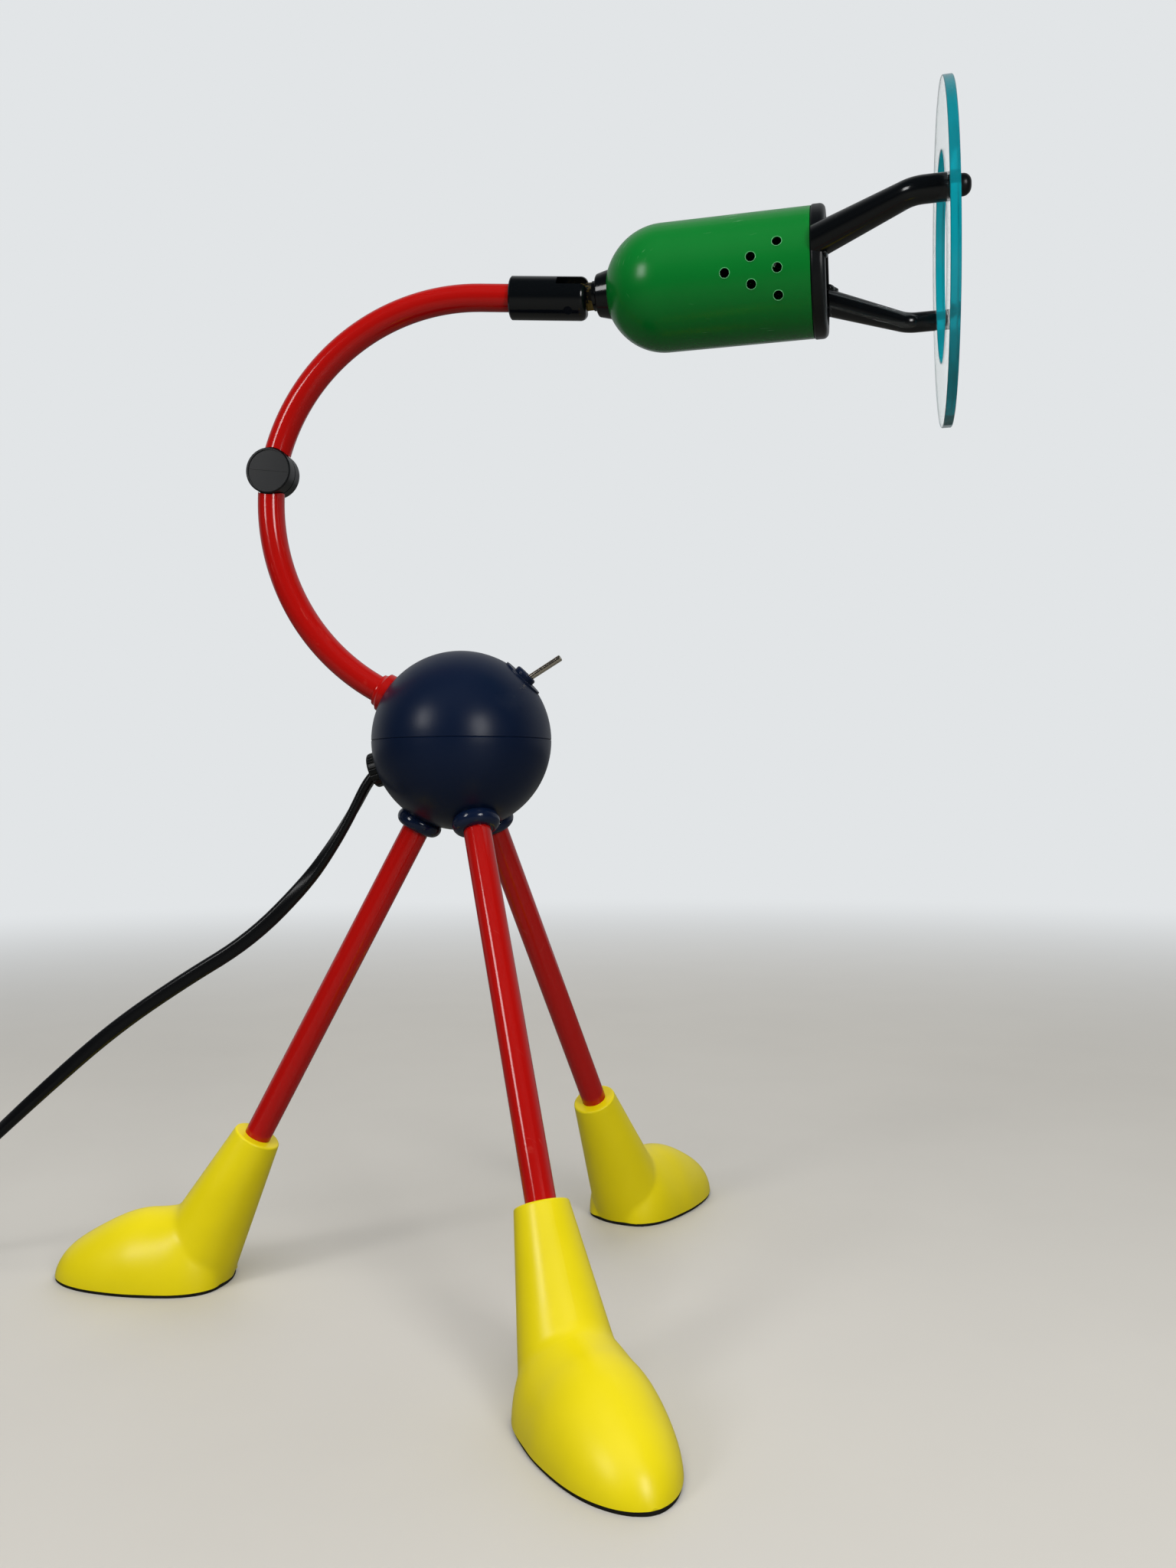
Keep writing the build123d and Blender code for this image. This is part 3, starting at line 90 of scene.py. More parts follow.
class LampColours(bpy.types.PropertyGroup):
    """Colours of the lamp's finishes."""

    ball: colour("Ball", "08162E", "Moulded plastic of the ball")
    collar: colour("Collars", "0C1933", "Glossy plastic of the leg collars")
    tube: colour("Tubes", "AE0D09", "Enamel of the legs and the arm")
    foot: colour("Feet", "ECD805", "Moulded plastic of the feet")
    cup: colour("Cup", "057428", "Enamel of the cup")
    black: colour("Black", "06090C", "Black plastic and enamel")
    glass: colour("Glass edge", "0893A0", "Body colour of the glass, seen at its polished edges")
    brass: colour("Brass", "8A7A4A", "Dull brass of the tongue")
    nickel: colour("Nickel", "C4BCAE", "Nickel plate of the switch lever and the plug's pins")
    backdrop: colour("Backdrop", "E2E5E7", "Pale surroundings behind the lamp")


class LampSizes(bpy.types.PropertyGroup):
    """Sizes of the pieces that the scene makes."""

    cord_width: length("Cord width", 6.8, "Width of the flat cord")
    cord_thickness: length("Cord thickness", 4.4, "Thickness of the flat cord")
    cord_length: length("Cord length", 1800, "Length of the cord from gland to plug")
    vent_radius: length("Vent radius", 2.0, "Radius of the vents in the cup")
    vent_lip: length("Vent lip", 0.16, "Half thickness of the enamel that builds up around a vent")
    weld_bead: length("Weld bead", 0.95, "Radius of the beads of the weld at a prong's root")
    filament_wire: length("Filament wire", 0.12, "Radius of the filament's wire")
    winding_wire: length("Winding wire", 0.4, "Radius of the transformer's winding wire")
    filament_turns: IntProperty(
        name="Filament turns", description="Turns of the filament in the bulb", default=9, min=3, max=30
    )
    winding_turns: IntProperty(
        name="Winding turns", description="Turns that show on the winding", default=24, min=4, max=60
    )
    facet_rows: IntProperty(
        name="Facet rows", description="Rows of facets in the bulb's reflector", default=9, min=4, max=20
    )
    facets_around: IntProperty(
        name="Facets around", description="Facets in one row of the reflector", default=36, min=12, max=72
    )


def settings():
    """The scene's lamp properties."""
    return bpy.context.scene.lamp_colours, bpy.context.scene.lamp_sizes


def head_point(radius, angle, along):
    """The point at a radius, an angle in degrees and a distance along the head's axis, all in millimetres."""
    turned = math.radians(angle)
    out = HEAD_X * math.cos(turned) + HEAD_Y * math.sin(turned)
    return TILT_PIN + (out * radius + HEAD_AXIS * along) * MM


def smooth_step(value, low, high):
    """0 below low, 1 above high, and an even change between them."""
    share = min(max((value - low) / (high - low), 0), 1)
    return share * share * (3 - 2 * share)


# Materials


def add(tree, kind, inputs=None, **values):
    """Adds a node with its settings, and its inputs as values or as links from sockets."""
    made = tree.nodes.new(kind)
    for name, value in values.items():
        setattr(made, name, value)
    for key, value in (inputs or {}).items():
        if isinstance(value, bpy.types.NodeSocket):
            tree.links.new(value, made.inputs[key])
        else:
            made.inputs[key].default_value = value
    return made


def start_material(name, rgb, roughness, **sockets):
    """A material with one Principled shader. Returns it with its tree, shader and Object coordinates."""
    made = bpy.data.materials.new(name)
    made.use_nodes = True
    tree = made.node_tree
    shader = tree.nodes["Principled BSDF"]
    shader.inputs["Base Color"].default_value = (*rgb, 1)
    shader.inputs["Roughness"].default_value = roughness
    for key, value in sockets.items():
        shader.inputs[key.replace("_", " ")].default_value = value
    place = add(tree, "ShaderNodeTexCoord").outputs["Object"]
    return made, tree, shader, place


def per_metre(millimetres):
    """The texture scale whose features have a size in millimetres."""
    return 1000 / millimetres


def tinted(rgb, factor):
    """A colour made lighter or darker, as a shader takes it."""
    return (*(min(1, c * factor) for c in rgb), 1)


def toned(tree, place, rgb, size_mm, spread):
    """A soft cloud of lighter and darker tones of one colour. Returns its colour and its pattern."""
    cloud = add(tree, "ShaderNodeTexNoise", {"Vector": place, "Scale": per_metre(size_mm), "Detail": 4})
    tone = add(tree, "ShaderNodeMix",
               {"Factor": cloud.outputs["Fac"], "A": tinted(rgb, 1 - spread), "B": tinted(rgb, 1 + spread)},
               data_type="RGBA")
    return tone.outputs["Result"], cloud.outputs["Fac"]


def raised(tree, shader, height, strength, depth_mm):
    """Lifts a surface by a pattern."""
    bump = add(tree, "ShaderNodeBump", {"Height": height, "Strength": strength, "Distance": depth_mm * MM})
    tree.links.new(bump.outputs["Normal"], shader.inputs["Normal"])


def uneven(tree, shader, place, size_mm, detail, strength, depth_mm):
    """Lifts a surface by a random pattern whose features have a size in millimetres."""
    pattern = add(tree, "ShaderNodeTexNoise",
                  {"Vector": place, "Scale": per_metre(size_mm), "Detail": detail})
    raised(tree, shader, pattern.outputs["Fac"], strength, depth_mm)


def scuffed(tree, place, surface, pale, amount):
    """Lays thin, short scuffs of a paler tone on a colour, in a few patches."""
    lie = add(tree, "ShaderNodeMapping", {"Vector": place, "Rotation": (0.5, 0.9, 0.3), "Scale": (1, 11, 1)})
    thread = add(tree, "ShaderNodeTexNoise",
                 {"Vector": lie.outputs["Vector"], "Scale": per_metre(9), "Detail": 3})
    patch = add(tree, "ShaderNodeTexNoise", {"Vector": place, "Scale": per_metre(17), "Detail": 2})
    fine = add(tree, "ShaderNodeMapRange",
               {"Value": thread.outputs["Fac"], "From Min": 0.64, "From Max": 0.70})
    where = add(tree, "ShaderNodeMapRange",
                {"Value": patch.outputs["Fac"], "From Min": 0.56, "From Max": 0.68, "To Max": amount})
    mask = add(tree, "ShaderNodeMath",
               {0: fine.outputs["Result"], 1: where.outputs["Result"]}, operation="MULTIPLY")
    marked = add(tree, "ShaderNodeMix",
                 {"Factor": mask.outputs[0], "A": surface, "B": (*pale, 1)}, data_type="RGBA")
    return marked.outputs["Result"]


def moulded(name, rgb, roughness, gloss, grain_mm, grain_depth_mm):
    """Moulded ABS, rubber, tape or ceramic: one even colour, a fine grain and shinier rubbed spots."""
    # The grain of a spark-eroded mould is finer than a pixel, so it is drawn as coarse as it needs to show
    made, tree, shader, place = start_material(name, rgb, roughness, IOR=1.54, Specular_IOR_Level=gloss)
    surface, cloud = toned(tree, place, rgb, size_mm=30, spread=0.08)
    tree.links.new(surface, shader.inputs["Base Color"])
    rubbed = add(tree, "ShaderNodeMapRange",
                 {"Value": cloud, "From Min": 0.35, "From Max": 0.65, "To Min": roughness - 0.05,
                  "To Max": roughness + 0.05})
    tree.links.new(rubbed.outputs["Result"], shader.inputs["Roughness"])
    uneven(tree, shader, place, size_mm=grain_mm, detail=2, strength=0.4, depth_mm=grain_depth_mm)
    return made


def sprayed_enamel(name, rgb, roughness, gloss, pale, scuffs):
    """Stoved enamel on metal: glossy, with the low ripple of a sprayed coat and a few scuffs."""
    made, tree, shader, place = start_material(name, rgb, roughness, IOR=1.5, Specular_IOR_Level=gloss)
    surface, _ = toned(tree, place, rgb, size_mm=40, spread=0.07)
    surface = scuffed(tree, place, surface, pale, scuffs)
    tree.links.new(surface, shader.inputs["Base Color"])
    uneven(tree, shader, place, size_mm=7, detail=1, strength=0.2, depth_mm=0.03)
    return made


def plated_metal(name, rgb, roughness, mark_mm, spread):
    """Turned or drawn metal with a thin plate: fine marks that spread the highlight, and a little tarnish."""
    # The marks of the tool are finer than a pixel, so they are drawn as coarse as they need to show
    made, tree, shader, place = start_material(name, rgb, roughness, Metallic=1.0)
    surface, _ = toned(tree, place, rgb, size_mm=5, spread=spread)
    tree.links.new(surface, shader.inputs["Base Color"])
    uneven(tree, shader, place, size_mm=mark_mm, detail=2, strength=0.15, depth_mm=0.012)
    return made


def chipped_brass(name, rgb, black):
    """Old brass under black lacquer that has chipped off where the tongue rubs."""
    made, tree, shader, place = start_material(name, rgb, roughness=0.4, Metallic=1.0)
    surface, _ = toned(tree, place, rgb, size_mm=3, spread=0.3)
    flake = add(tree, "ShaderNodeTexNoise", {"Vector": place, "Scale": per_metre(3.5), "Detail": 5})
    kept = add(tree, "ShaderNodeMapRange",
               {"Value": flake.outputs["Fac"], "From Min": 0.50, "From Max": 0.54})
    coat = add(tree, "ShaderNodeMix",
               {"Factor": kept.outputs["Result"], "A": surface, "B": (*black, 1)}, data_type="RGBA")
    tree.links.new(coat.outputs["Result"], shader.inputs["Base Color"])
    bare = add(tree, "ShaderNodeMapRange",
               {"Value": flake.outputs["Fac"], "From Min": 0.50, "From Max": 0.54, "To Min": 1.0,
                "To Max": 0.0})
    tree.links.new(bare.outputs["Result"], shader.inputs["Metallic"])
    raised(tree, shader, kept.outputs["Result"], strength=0.4, depth_mm=0.05)
    return made


def clear_glass(name, rgb, wave_mm):
    """Clear glass: see-through faces with a hard gloss and the faint wave of the sheet."""
    made, tree, shader, place = start_material(name, rgb, roughness=0.0, IOR=1.52)
    shader.inputs["Transmission Weight"].default_value = 1.0
    uneven(tree, shader, place, size_mm=wave_mm, detail=1, strength=0.05, depth_mm=0.05)
    return made


def glass_edge(name, rgb):
    """Ground and polished edge of float glass, where light that runs along the sheet shows its colour."""
    # The marks of the wheel are finer than a pixel, so they are drawn as coarse as they need to show
    made, tree, shader, place = start_material(name, rgb, roughness=0.09, IOR=1.52)
    shader.inputs["Transmission Weight"].default_value = 0.45
    surface, _ = toned(tree, place, rgb, size_mm=34, spread=0.28)
    tree.links.new(surface, shader.inputs["Base Color"])
    uneven(tree, shader, place, size_mm=1.4, detail=2, strength=0.12, depth_mm=0.02)
    return made


def pvc_sheath(name, rgb):
    """Extruded soft PVC: satin black with faint waves from the die and a little dust."""
    made, tree, shader, place = start_material(name, rgb, roughness=0.26, IOR=1.53, Specular_IOR_Level=0.25)
    surface, _ = toned(tree, place, rgb, size_mm=11, spread=0.3)
    tree.links.new(surface, shader.inputs["Base Color"])
    uneven(tree, shader, place, size_mm=2.4, detail=2, strength=0.2, depth_mm=0.04)
    return made


def layered_iron(name, rgb):
    """Varnished stack of iron sheets with thin dark lines between them."""
    # The sheets are half a millimetre thick. At this scale the wave has a line every 0.63 mm, so they show
    made, tree, shader, place = start_material(name, rgb, roughness=0.45, Metallic=0.7)
    sheets = add(tree, "ShaderNodeTexWave",
                 {"Vector": place, "Scale": per_metre(2), "Distortion": 0.3}, bands_direction="Z")
    tone = add(tree, "ShaderNodeMix",
               {"Factor": sheets.outputs["Fac"], "A": tinted(rgb, 0.35), "B": tinted(rgb, 1.1)},
               data_type="RGBA")
    tree.links.new(tone.outputs["Result"], shader.inputs["Base Color"])
    raised(tree, shader, sheets.outputs["Fac"], strength=0.5, depth_mm=0.1)
    return made


def make_materials():
    """Every finish of the lamp, made once."""
    colours, _ = settings()
    black = tuple(colours.black)
    # Name, colour, roughness, gloss, and the size and depth of the grain in millimetres
    plastics = {
        "ball": ("navy_abs", tuple(colours.ball), 0.34, 0.2, 0.9, 0.04),
        "collar": ("navy_gloss_abs", tuple(colours.collar), 0.16, 0.35, 2.0, 0.01),
        "foot": ("yellow_abs", tuple(colours.foot), 0.34, 0.35, 2.5, 0.006),
        "sole": ("sole_rubber", linear("15140F"), 0.75, 0.2, 0.6, 0.08),
        "black_plastic": ("black_abs", black, 0.33, 0.3, 0.9, 0.01),
        "tape": ("polyester_tape", linear("D9A92A"), 0.35, 0.5, 0.8, 0.03),
        "white": ("white_ceramic", linear("E4E0D4"), 0.45, 0.5, 0.6, 0.02),
    }
    # Name, colour, roughness, gloss, and the colour and strength of the scuffs
    enamels = {
        "tube": ("red_enamel", tuple(colours.tube), 0.12, 0.4, linear("E06A5C"), 0.2),
        "cup": ("green_enamel", tuple(colours.cup), 0.24, 0.28, linear("6FAE7C"), 0.45),
        # The lips' green is the cup's green made paler: a painted highlight that stands for the glint along
        # the vents' raised edges
        "vent_lip": ("green_enamel_lip", linear("5DB274"), 0.2, 0.5, linear("9FD0AC"), 0.3),
        "black_enamel": ("black_enamel", black, 0.15, 0.45, linear("6B7076"), 0.25),
    }
    # Name, colour, roughness, the size of the tool's marks in millimetres, and the spread of the tarnish
    metals = {
        "steel": ("zinc_steel", linear("9A9A96"), 0.34, 0.5, 0.15),
        "nickel": ("nickel_plate", tuple(colours.nickel), 0.14, 0.7, 0.06),
        "copper": ("enamelled_copper", linear("B06A32"), 0.28, 0.6, 0.15),
        "mirror": ("mirrored_glass", linear("DADAD6"), 0.06, 2.0, 0.04),
    }
    made = {
        "brass": chipped_brass("chipped_brass", tuple(colours.brass), black),
        "glass": clear_glass("float_glass", linear("F7FDFD"), wave_mm=60),
        "glass_edge": glass_edge("float_glass_edge", tuple(colours.glass)),
        "quartz": clear_glass("quartz_glass", linear("FFFFFF"), wave_mm=6),
        "cord": pvc_sheath("pvc_sheath", linear("090A0C")),
        "iron": layered_iron("varnished_iron", linear("6A6762")),
    }
    for finish, rows in ((moulded, plastics), (sprayed_enamel, enamels), (plated_metal, metals)):
        for key, row in rows.items():
            made[key] = finish(*row)
    return made


FINISHES = {}


def finish_of(key):
    """One finish, made with all the others at the first call."""
    if not FINISHES:
        FINISHES.update(make_materials())
    return FINISHES[key]


def paint(key, *names):
    """Gives CAD nodes a finish."""
    for name in names:
        mesh = NODES[name].data
        mesh.materials.clear()
        mesh.materials.append(finish_of(key))


# Pieces


def new_piece(name, mesh, keys, body, slot, *replaced):
    """Links a mesh as a piece that rides on a body and takes its finishes, in place of CAD nodes if any."""
    piece = bpy.data.objects.new(name, mesh)
    bpy.context.scene.collection.objects.link(piece)
    if not mesh.materials:
        for key in keys:
            mesh.materials.append(finish_of(key))
    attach(piece, body)
    if replaced:
        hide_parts(*replaced)
    return piece


def skin(bm, rings, close=True):
    """Joins rings of points with faces, and closes the first and the last ring."""
    made = [[bm.verts.new(point) for point in ring] for ring in rings]
    count = len(rings[0])
    for first, second in zip(made, made[1:]):
        for k in range(count):
            after = (k + 1) % count
            bm.faces.new((first[k], first[after], second[after], second[k]))
    if close:
        bm.faces.new(list(reversed(made[0])))
        bm.faces.new(made[-1])
    return made


def finished_mesh(name, bm, sharp_degrees):
    """Turns a bmesh into a mesh with outward faces, smooth except at sharp edges."""
    bmesh.ops.recalc_face_normals(bm, faces=bm.faces)
    for face in bm.faces:
        face.smooth = True
    mesh = bpy.data.meshes.new(name)
    bm.to_mesh(mesh)
    bm.free()
    mesh.set_sharp_from_angle(angle=math.radians(sharp_degrees))
    return mesh


def start_tree(name, inputs):
    """A Geometry Nodes tree with a geometry input and named number inputs. Returns it with its input node."""
    tree = bpy.data.node_groups.new(name, "GeometryNodeTree")
    tree.interface.new_socket("Geometry", in_out="INPUT", socket_type="NodeSocketGeometry")
    tree.interface.new_socket("Geometry", in_out="OUTPUT", socket_type="NodeSocketGeometry")
    for label, kind in inputs.items():
        tree.interface.new_socket(label, in_out="INPUT", socket_type=kind)
    return tree, add(tree, "NodeGroupInput")


def end_tree(tree, geometry, key):
    """Ends a tree: its instances become real and take a finish."""
    real = add(tree, "GeometryNodeRealizeInstances", {"Geometry": geometry})
    done = add(tree, "GeometryNodeSetMaterial",
               {"Geometry": real.outputs["Geometry"], "Material": finish_of(key)})
    add(tree, "NodeGroupOutput", {"Geometry": done.outputs["Geometry"]})


def grown_mesh(name, tree, values, points, facings=None, drops=None):
    """Runs a tree on points with the ways they face or their drop sizes. Returns a plain mesh."""
    start = bpy.data.meshes.new(name + "_points")
    start.from_pydata(points, [], [])
    if facings:
        rows = start.attributes.new("facing", "FLOAT_VECTOR", "POINT")
        rows.data.foreach_set("vector", [c for facing in facings for c in facing])
    if drops:
        start.attributes.new("drop", "FLOAT", "POINT").data.foreach_set("value", drops)
    holder = bpy.data.objects.new(name + "_points", start)
    bpy.context.scene.collection.objects.link(holder)
    grower = holder.modifiers.new(name, "NODES")
    grower.node_group = tree
    for item in tree.interface.items_tree:
        if item.in_out == "INPUT" and item.name in values:
            grower[item.identifier] = values[item.name]
    graph = bpy.context.evaluated_depsgraph_get()
    mesh = bpy.data.meshes.new_from_object(holder.evaluated_get(graph))
    holder.modifiers.remove(grower)
    bpy.data.objects.remove(holder)
    bpy.data.meshes.remove(start)
    mesh.name = name
    return mesh


def wire_along(tree, inputs, curve, sides, caps=False):
    """A wire of the tree's wire radius along a curve. Returns its mesh."""
    wire = add(tree, "GeometryNodeCurvePrimitiveCircle",
               {"Resolution": sides, "Radius": inputs.outputs["Wire radius"]})
    tube = add(tree, "GeometryNodeCurveToMesh",
               {"Curve": curve.outputs["Curve"], "Profile Curve": wire.outputs["Curve"], "Fill Caps": caps})
    return tube.outputs["Mesh"]


def set_on_points(tree, inputs, mesh):
    """Sets a copy of a mesh on each point, turned to the way the point faces."""
    facing = add(tree, "GeometryNodeInputNamedAttribute", {"Name": "facing"}, data_type="FLOAT_VECTOR")
    turn = add(tree, "FunctionNodeAlignRotationToVector", {"Vector": facing.outputs["Attribute"]}, axis="Z")
    copies = add(tree, "GeometryNodeInstanceOnPoints",
                 {"Points": inputs.outputs["Geometry"], "Instance": mesh,
                  "Rotation": turn.outputs["Rotation"]})
    return copies.outputs["Instances"]


def ring_tree(key):
    """Grows a thin ring on each point, square to the way the point faces."""
    tree, inputs = start_tree("rings", {"Ring radius": "NodeSocketFloat", "Wire radius": "NodeSocketFloat"})
    ring = add(tree, "GeometryNodeCurvePrimitiveCircle",
               {"Resolution": 28, "Radius": inputs.outputs["Ring radius"]})
    end_tree(tree, set_on_points(tree, inputs, wire_along(tree, inputs, ring, sides=8)), key)
    return tree


def weld_tree(key):
    """Melts drops at the points, each of its own size, into one smooth weld."""
    tree, inputs = start_tree("weld", {"Cell": "NodeSocketFloat"})
    points = add(tree, "GeometryNodeMeshToPoints", {"Mesh": inputs.outputs["Geometry"]})
    drop = add(tree, "GeometryNodeInputNamedAttribute", {"Name": "drop"}, data_type="FLOAT")
    metal = add(tree, "GeometryNodePointsToVolume",
                {"Points": points.outputs["Points"], "Radius": drop.outputs["Attribute"],
                 "Voxel Size": inputs.outputs["Cell"]}, resolution_mode="VOXEL_SIZE")
    skin_mesh = add(tree, "GeometryNodeVolumeToMesh", {"Volume": metal.outputs["Volume"]})
    even = add(tree, "GeometryNodeSetPosition", {"Geometry": skin_mesh.outputs["Mesh"]})
    place = add(tree, "GeometryNodeInputPosition").outputs["Position"]
    blurred = add(tree, "GeometryNodeBlurAttribute",
                  {"Value": place, "Iterations": 6}, data_type="FLOAT_VECTOR")
    tree.links.new(blurred.outputs["Value"], even.inputs["Position"])
    smooth = add(tree, "GeometryNodeSetShadeSmooth", {"Geometry": even.outputs["Geometry"]})
    end_tree(tree, smooth.outputs["Geometry"], key)
    return tree


def spiral_tree(key):
    """Grows one helix of wire."""
    tree, inputs = start_tree("spiral", {"Turns": "NodeSocketFloat", "Coil radius": "NodeSocketFloat",
                                        "Height": "NodeSocketFloat", "Wire radius": "NodeSocketFloat"})
    helix = add(tree, "GeometryNodeCurveSpiral",
                {"Resolution": 20, "Rotations": inputs.outputs["Turns"],
                 "Start Radius": inputs.outputs["Coil radius"], "End Radius": inputs.outputs["Coil radius"],
                 "Height": inputs.outputs["Height"]})
    end_tree(tree, wire_along(tree, inputs, helix, sides=6, caps=True), key)
    return tree


def turns_tree(key):
    """Grows a row of wire turns with rounded corners, side by side."""
    tree, inputs = start_tree("turns", {"Width": "NodeSocketFloat", "Height": "NodeSocketFloat",
                                       "Corner": "NodeSocketFloat", "Wire radius": "NodeSocketFloat"})
    oblong = add(tree, "GeometryNodeCurvePrimitiveQuadrilateral",
                 {"Width": inputs.outputs["Width"], "Height": inputs.outputs["Height"]})
    rounded = add(tree, "GeometryNodeFilletCurve",
                  {"Curve": oblong.outputs["Curve"], "Count": 5, "Radius": inputs.outputs["Corner"]},
                  mode="POLY")
    end_tree(tree, set_on_points(tree, inputs, wire_along(tree, inputs, rounded, sides=8)), key)
    return tree


# The cord's route, in metres, from inside the gland to the coil
ROUTE = [
    (-0.0460, 0.0, 0.2365),
    (-0.0520, 0.0, 0.2330),
    (-0.0580, 0.0, 0.2277),
    (-0.0652, 0.0, 0.2139),
    (-0.0742, -0.001, 0.1988),
    (-0.0868, -0.002, 0.1812),
    (-0.1121, -0.005, 0.1558),
    (-0.1439, -0.008, 0.1369),
    (-0.1763, -0.010, 0.1150),
    (-0.2105, -0.009, 0.0863),
    (-0.2430, -0.008, 0.0575),
    (-0.2730, -0.008, 0.0320),
    (-0.2970, -0.0084, 0.0135),
    (-0.3190, -0.0100, 0.0046),
]
COIL_X = -0.337
COIL_Y = 0.0356
COIL_PITCH = 0.0069
# The outer radius of the coil's lower and upper layer, their heights, and the turns that climb between them
COIL_OUTER = (0.0474, 0.0462)
COIL_LOW = 0.0030
COIL_HIGH = 0.0086
COIL_CLIMB = 0.15
TURN_POINTS = 16
TURNS = 3
TAIL = [
    (-0.3410, -0.0106, 0.0092),
    (-0.3565, -0.0063, 0.0114),
    (-0.3655, 0.0021, 0.0130),
    (-0.3732, 0.0150, 0.0166),
    (-0.3745, 0.0265, 0.0178),
    (-0.3745, 0.0336, 0.0178),
]

# The cord's section has this many points. It leaves the gland edge on, turns its wide side to the viewer
# and lies down flat again, in metres along it
CORD_SIDES = 24
WIDE_FROM = 0.012
WIDE_BY = 0.095
FLAT_FROM = 0.17
FLAT_BY = 0.35


def coil_points():
    """The coil's turns: inward on the floor, then outward on top."""
    points = []
    for layer, outer in enumerate(COIL_OUTER):
        for step in range(TURNS * TURN_POINTS):
            turned = step / TURN_POINTS
            inward = turned if layer == 0 else TURNS - turned
            radius = outer - COIL_PITCH * inward
            climbed = smooth_step(layer * TURNS + turned, TURNS - COIL_CLIMB, TURNS + COIL_CLIMB)
            height = COIL_LOW + (COIL_HIGH - COIL_LOW) * climbed
            angle = -math.pi / 2 - 2 * math.pi * turned
            points.append((COIL_X + radius * math.cos(angle), COIL_Y + radius * math.sin(angle), height))
    return points


def smooth_line(points):
    """The points of a NURBS spline through a route, read from a curve without a bevel."""
    curve = bpy.data.curves.new("route", "CURVE")
    curve.dimensions = "3D"
    curve.resolution_u = 6
    spline = curve.splines.new("NURBS")
    spline.points.add(len(points) - 1)
    for point, place in zip(spline.points, points):
        point.co = (*place, 1)
    spline.order_u = 3
    spline.use_endpoint_u = True
    holder = bpy.data.objects.new("route", curve)
    mesh = bpy.data.meshes.new_from_object(holder)
    line = [v.co.copy() for v in mesh.vertices]
    bpy.data.objects.remove(holder)
    bpy.data.curves.remove(curve)
    bpy.data.meshes.remove(mesh)
    return line


def flat_tube(line, width, thickness):
    """Sweeps a flat section with round sides along a line, turning as the cord does."""
    flat = (width - thickness) / 2
    round_r = thickness / 2
    rings = []
    run = 0.0
    for i, point in enumerate(line):
        if i:
            run += (point - line[i - 1]).length
        ahead = (line[min(i + 1, len(line) - 1)] - line[max(i - 1, 0)]).normalized()
        side = ahead.cross(Vector((0, 0, 1))).normalized()
        above = side.cross(ahead)
        on_edge = smooth_step(run, WIDE_FROM, WIDE_BY) * (1 - smooth_step(run, FLAT_FROM, FLAT_BY))
        turn = math.pi / 2 * on_edge
        wide = side * math.cos(turn) + above * math.sin(turn)
        thin = above * math.cos(turn) - side * math.sin(turn)
        ring = []
        for k in range(CORD_SIDES):
            angle = 2 * math.pi * (k + 0.5) / CORD_SIDES
            across = round_r * math.cos(angle) + math.copysign(flat, math.cos(angle))
            ring.append(point + wide * across + thin * round_r * math.sin(angle))
        rings.append(ring)
    return rings


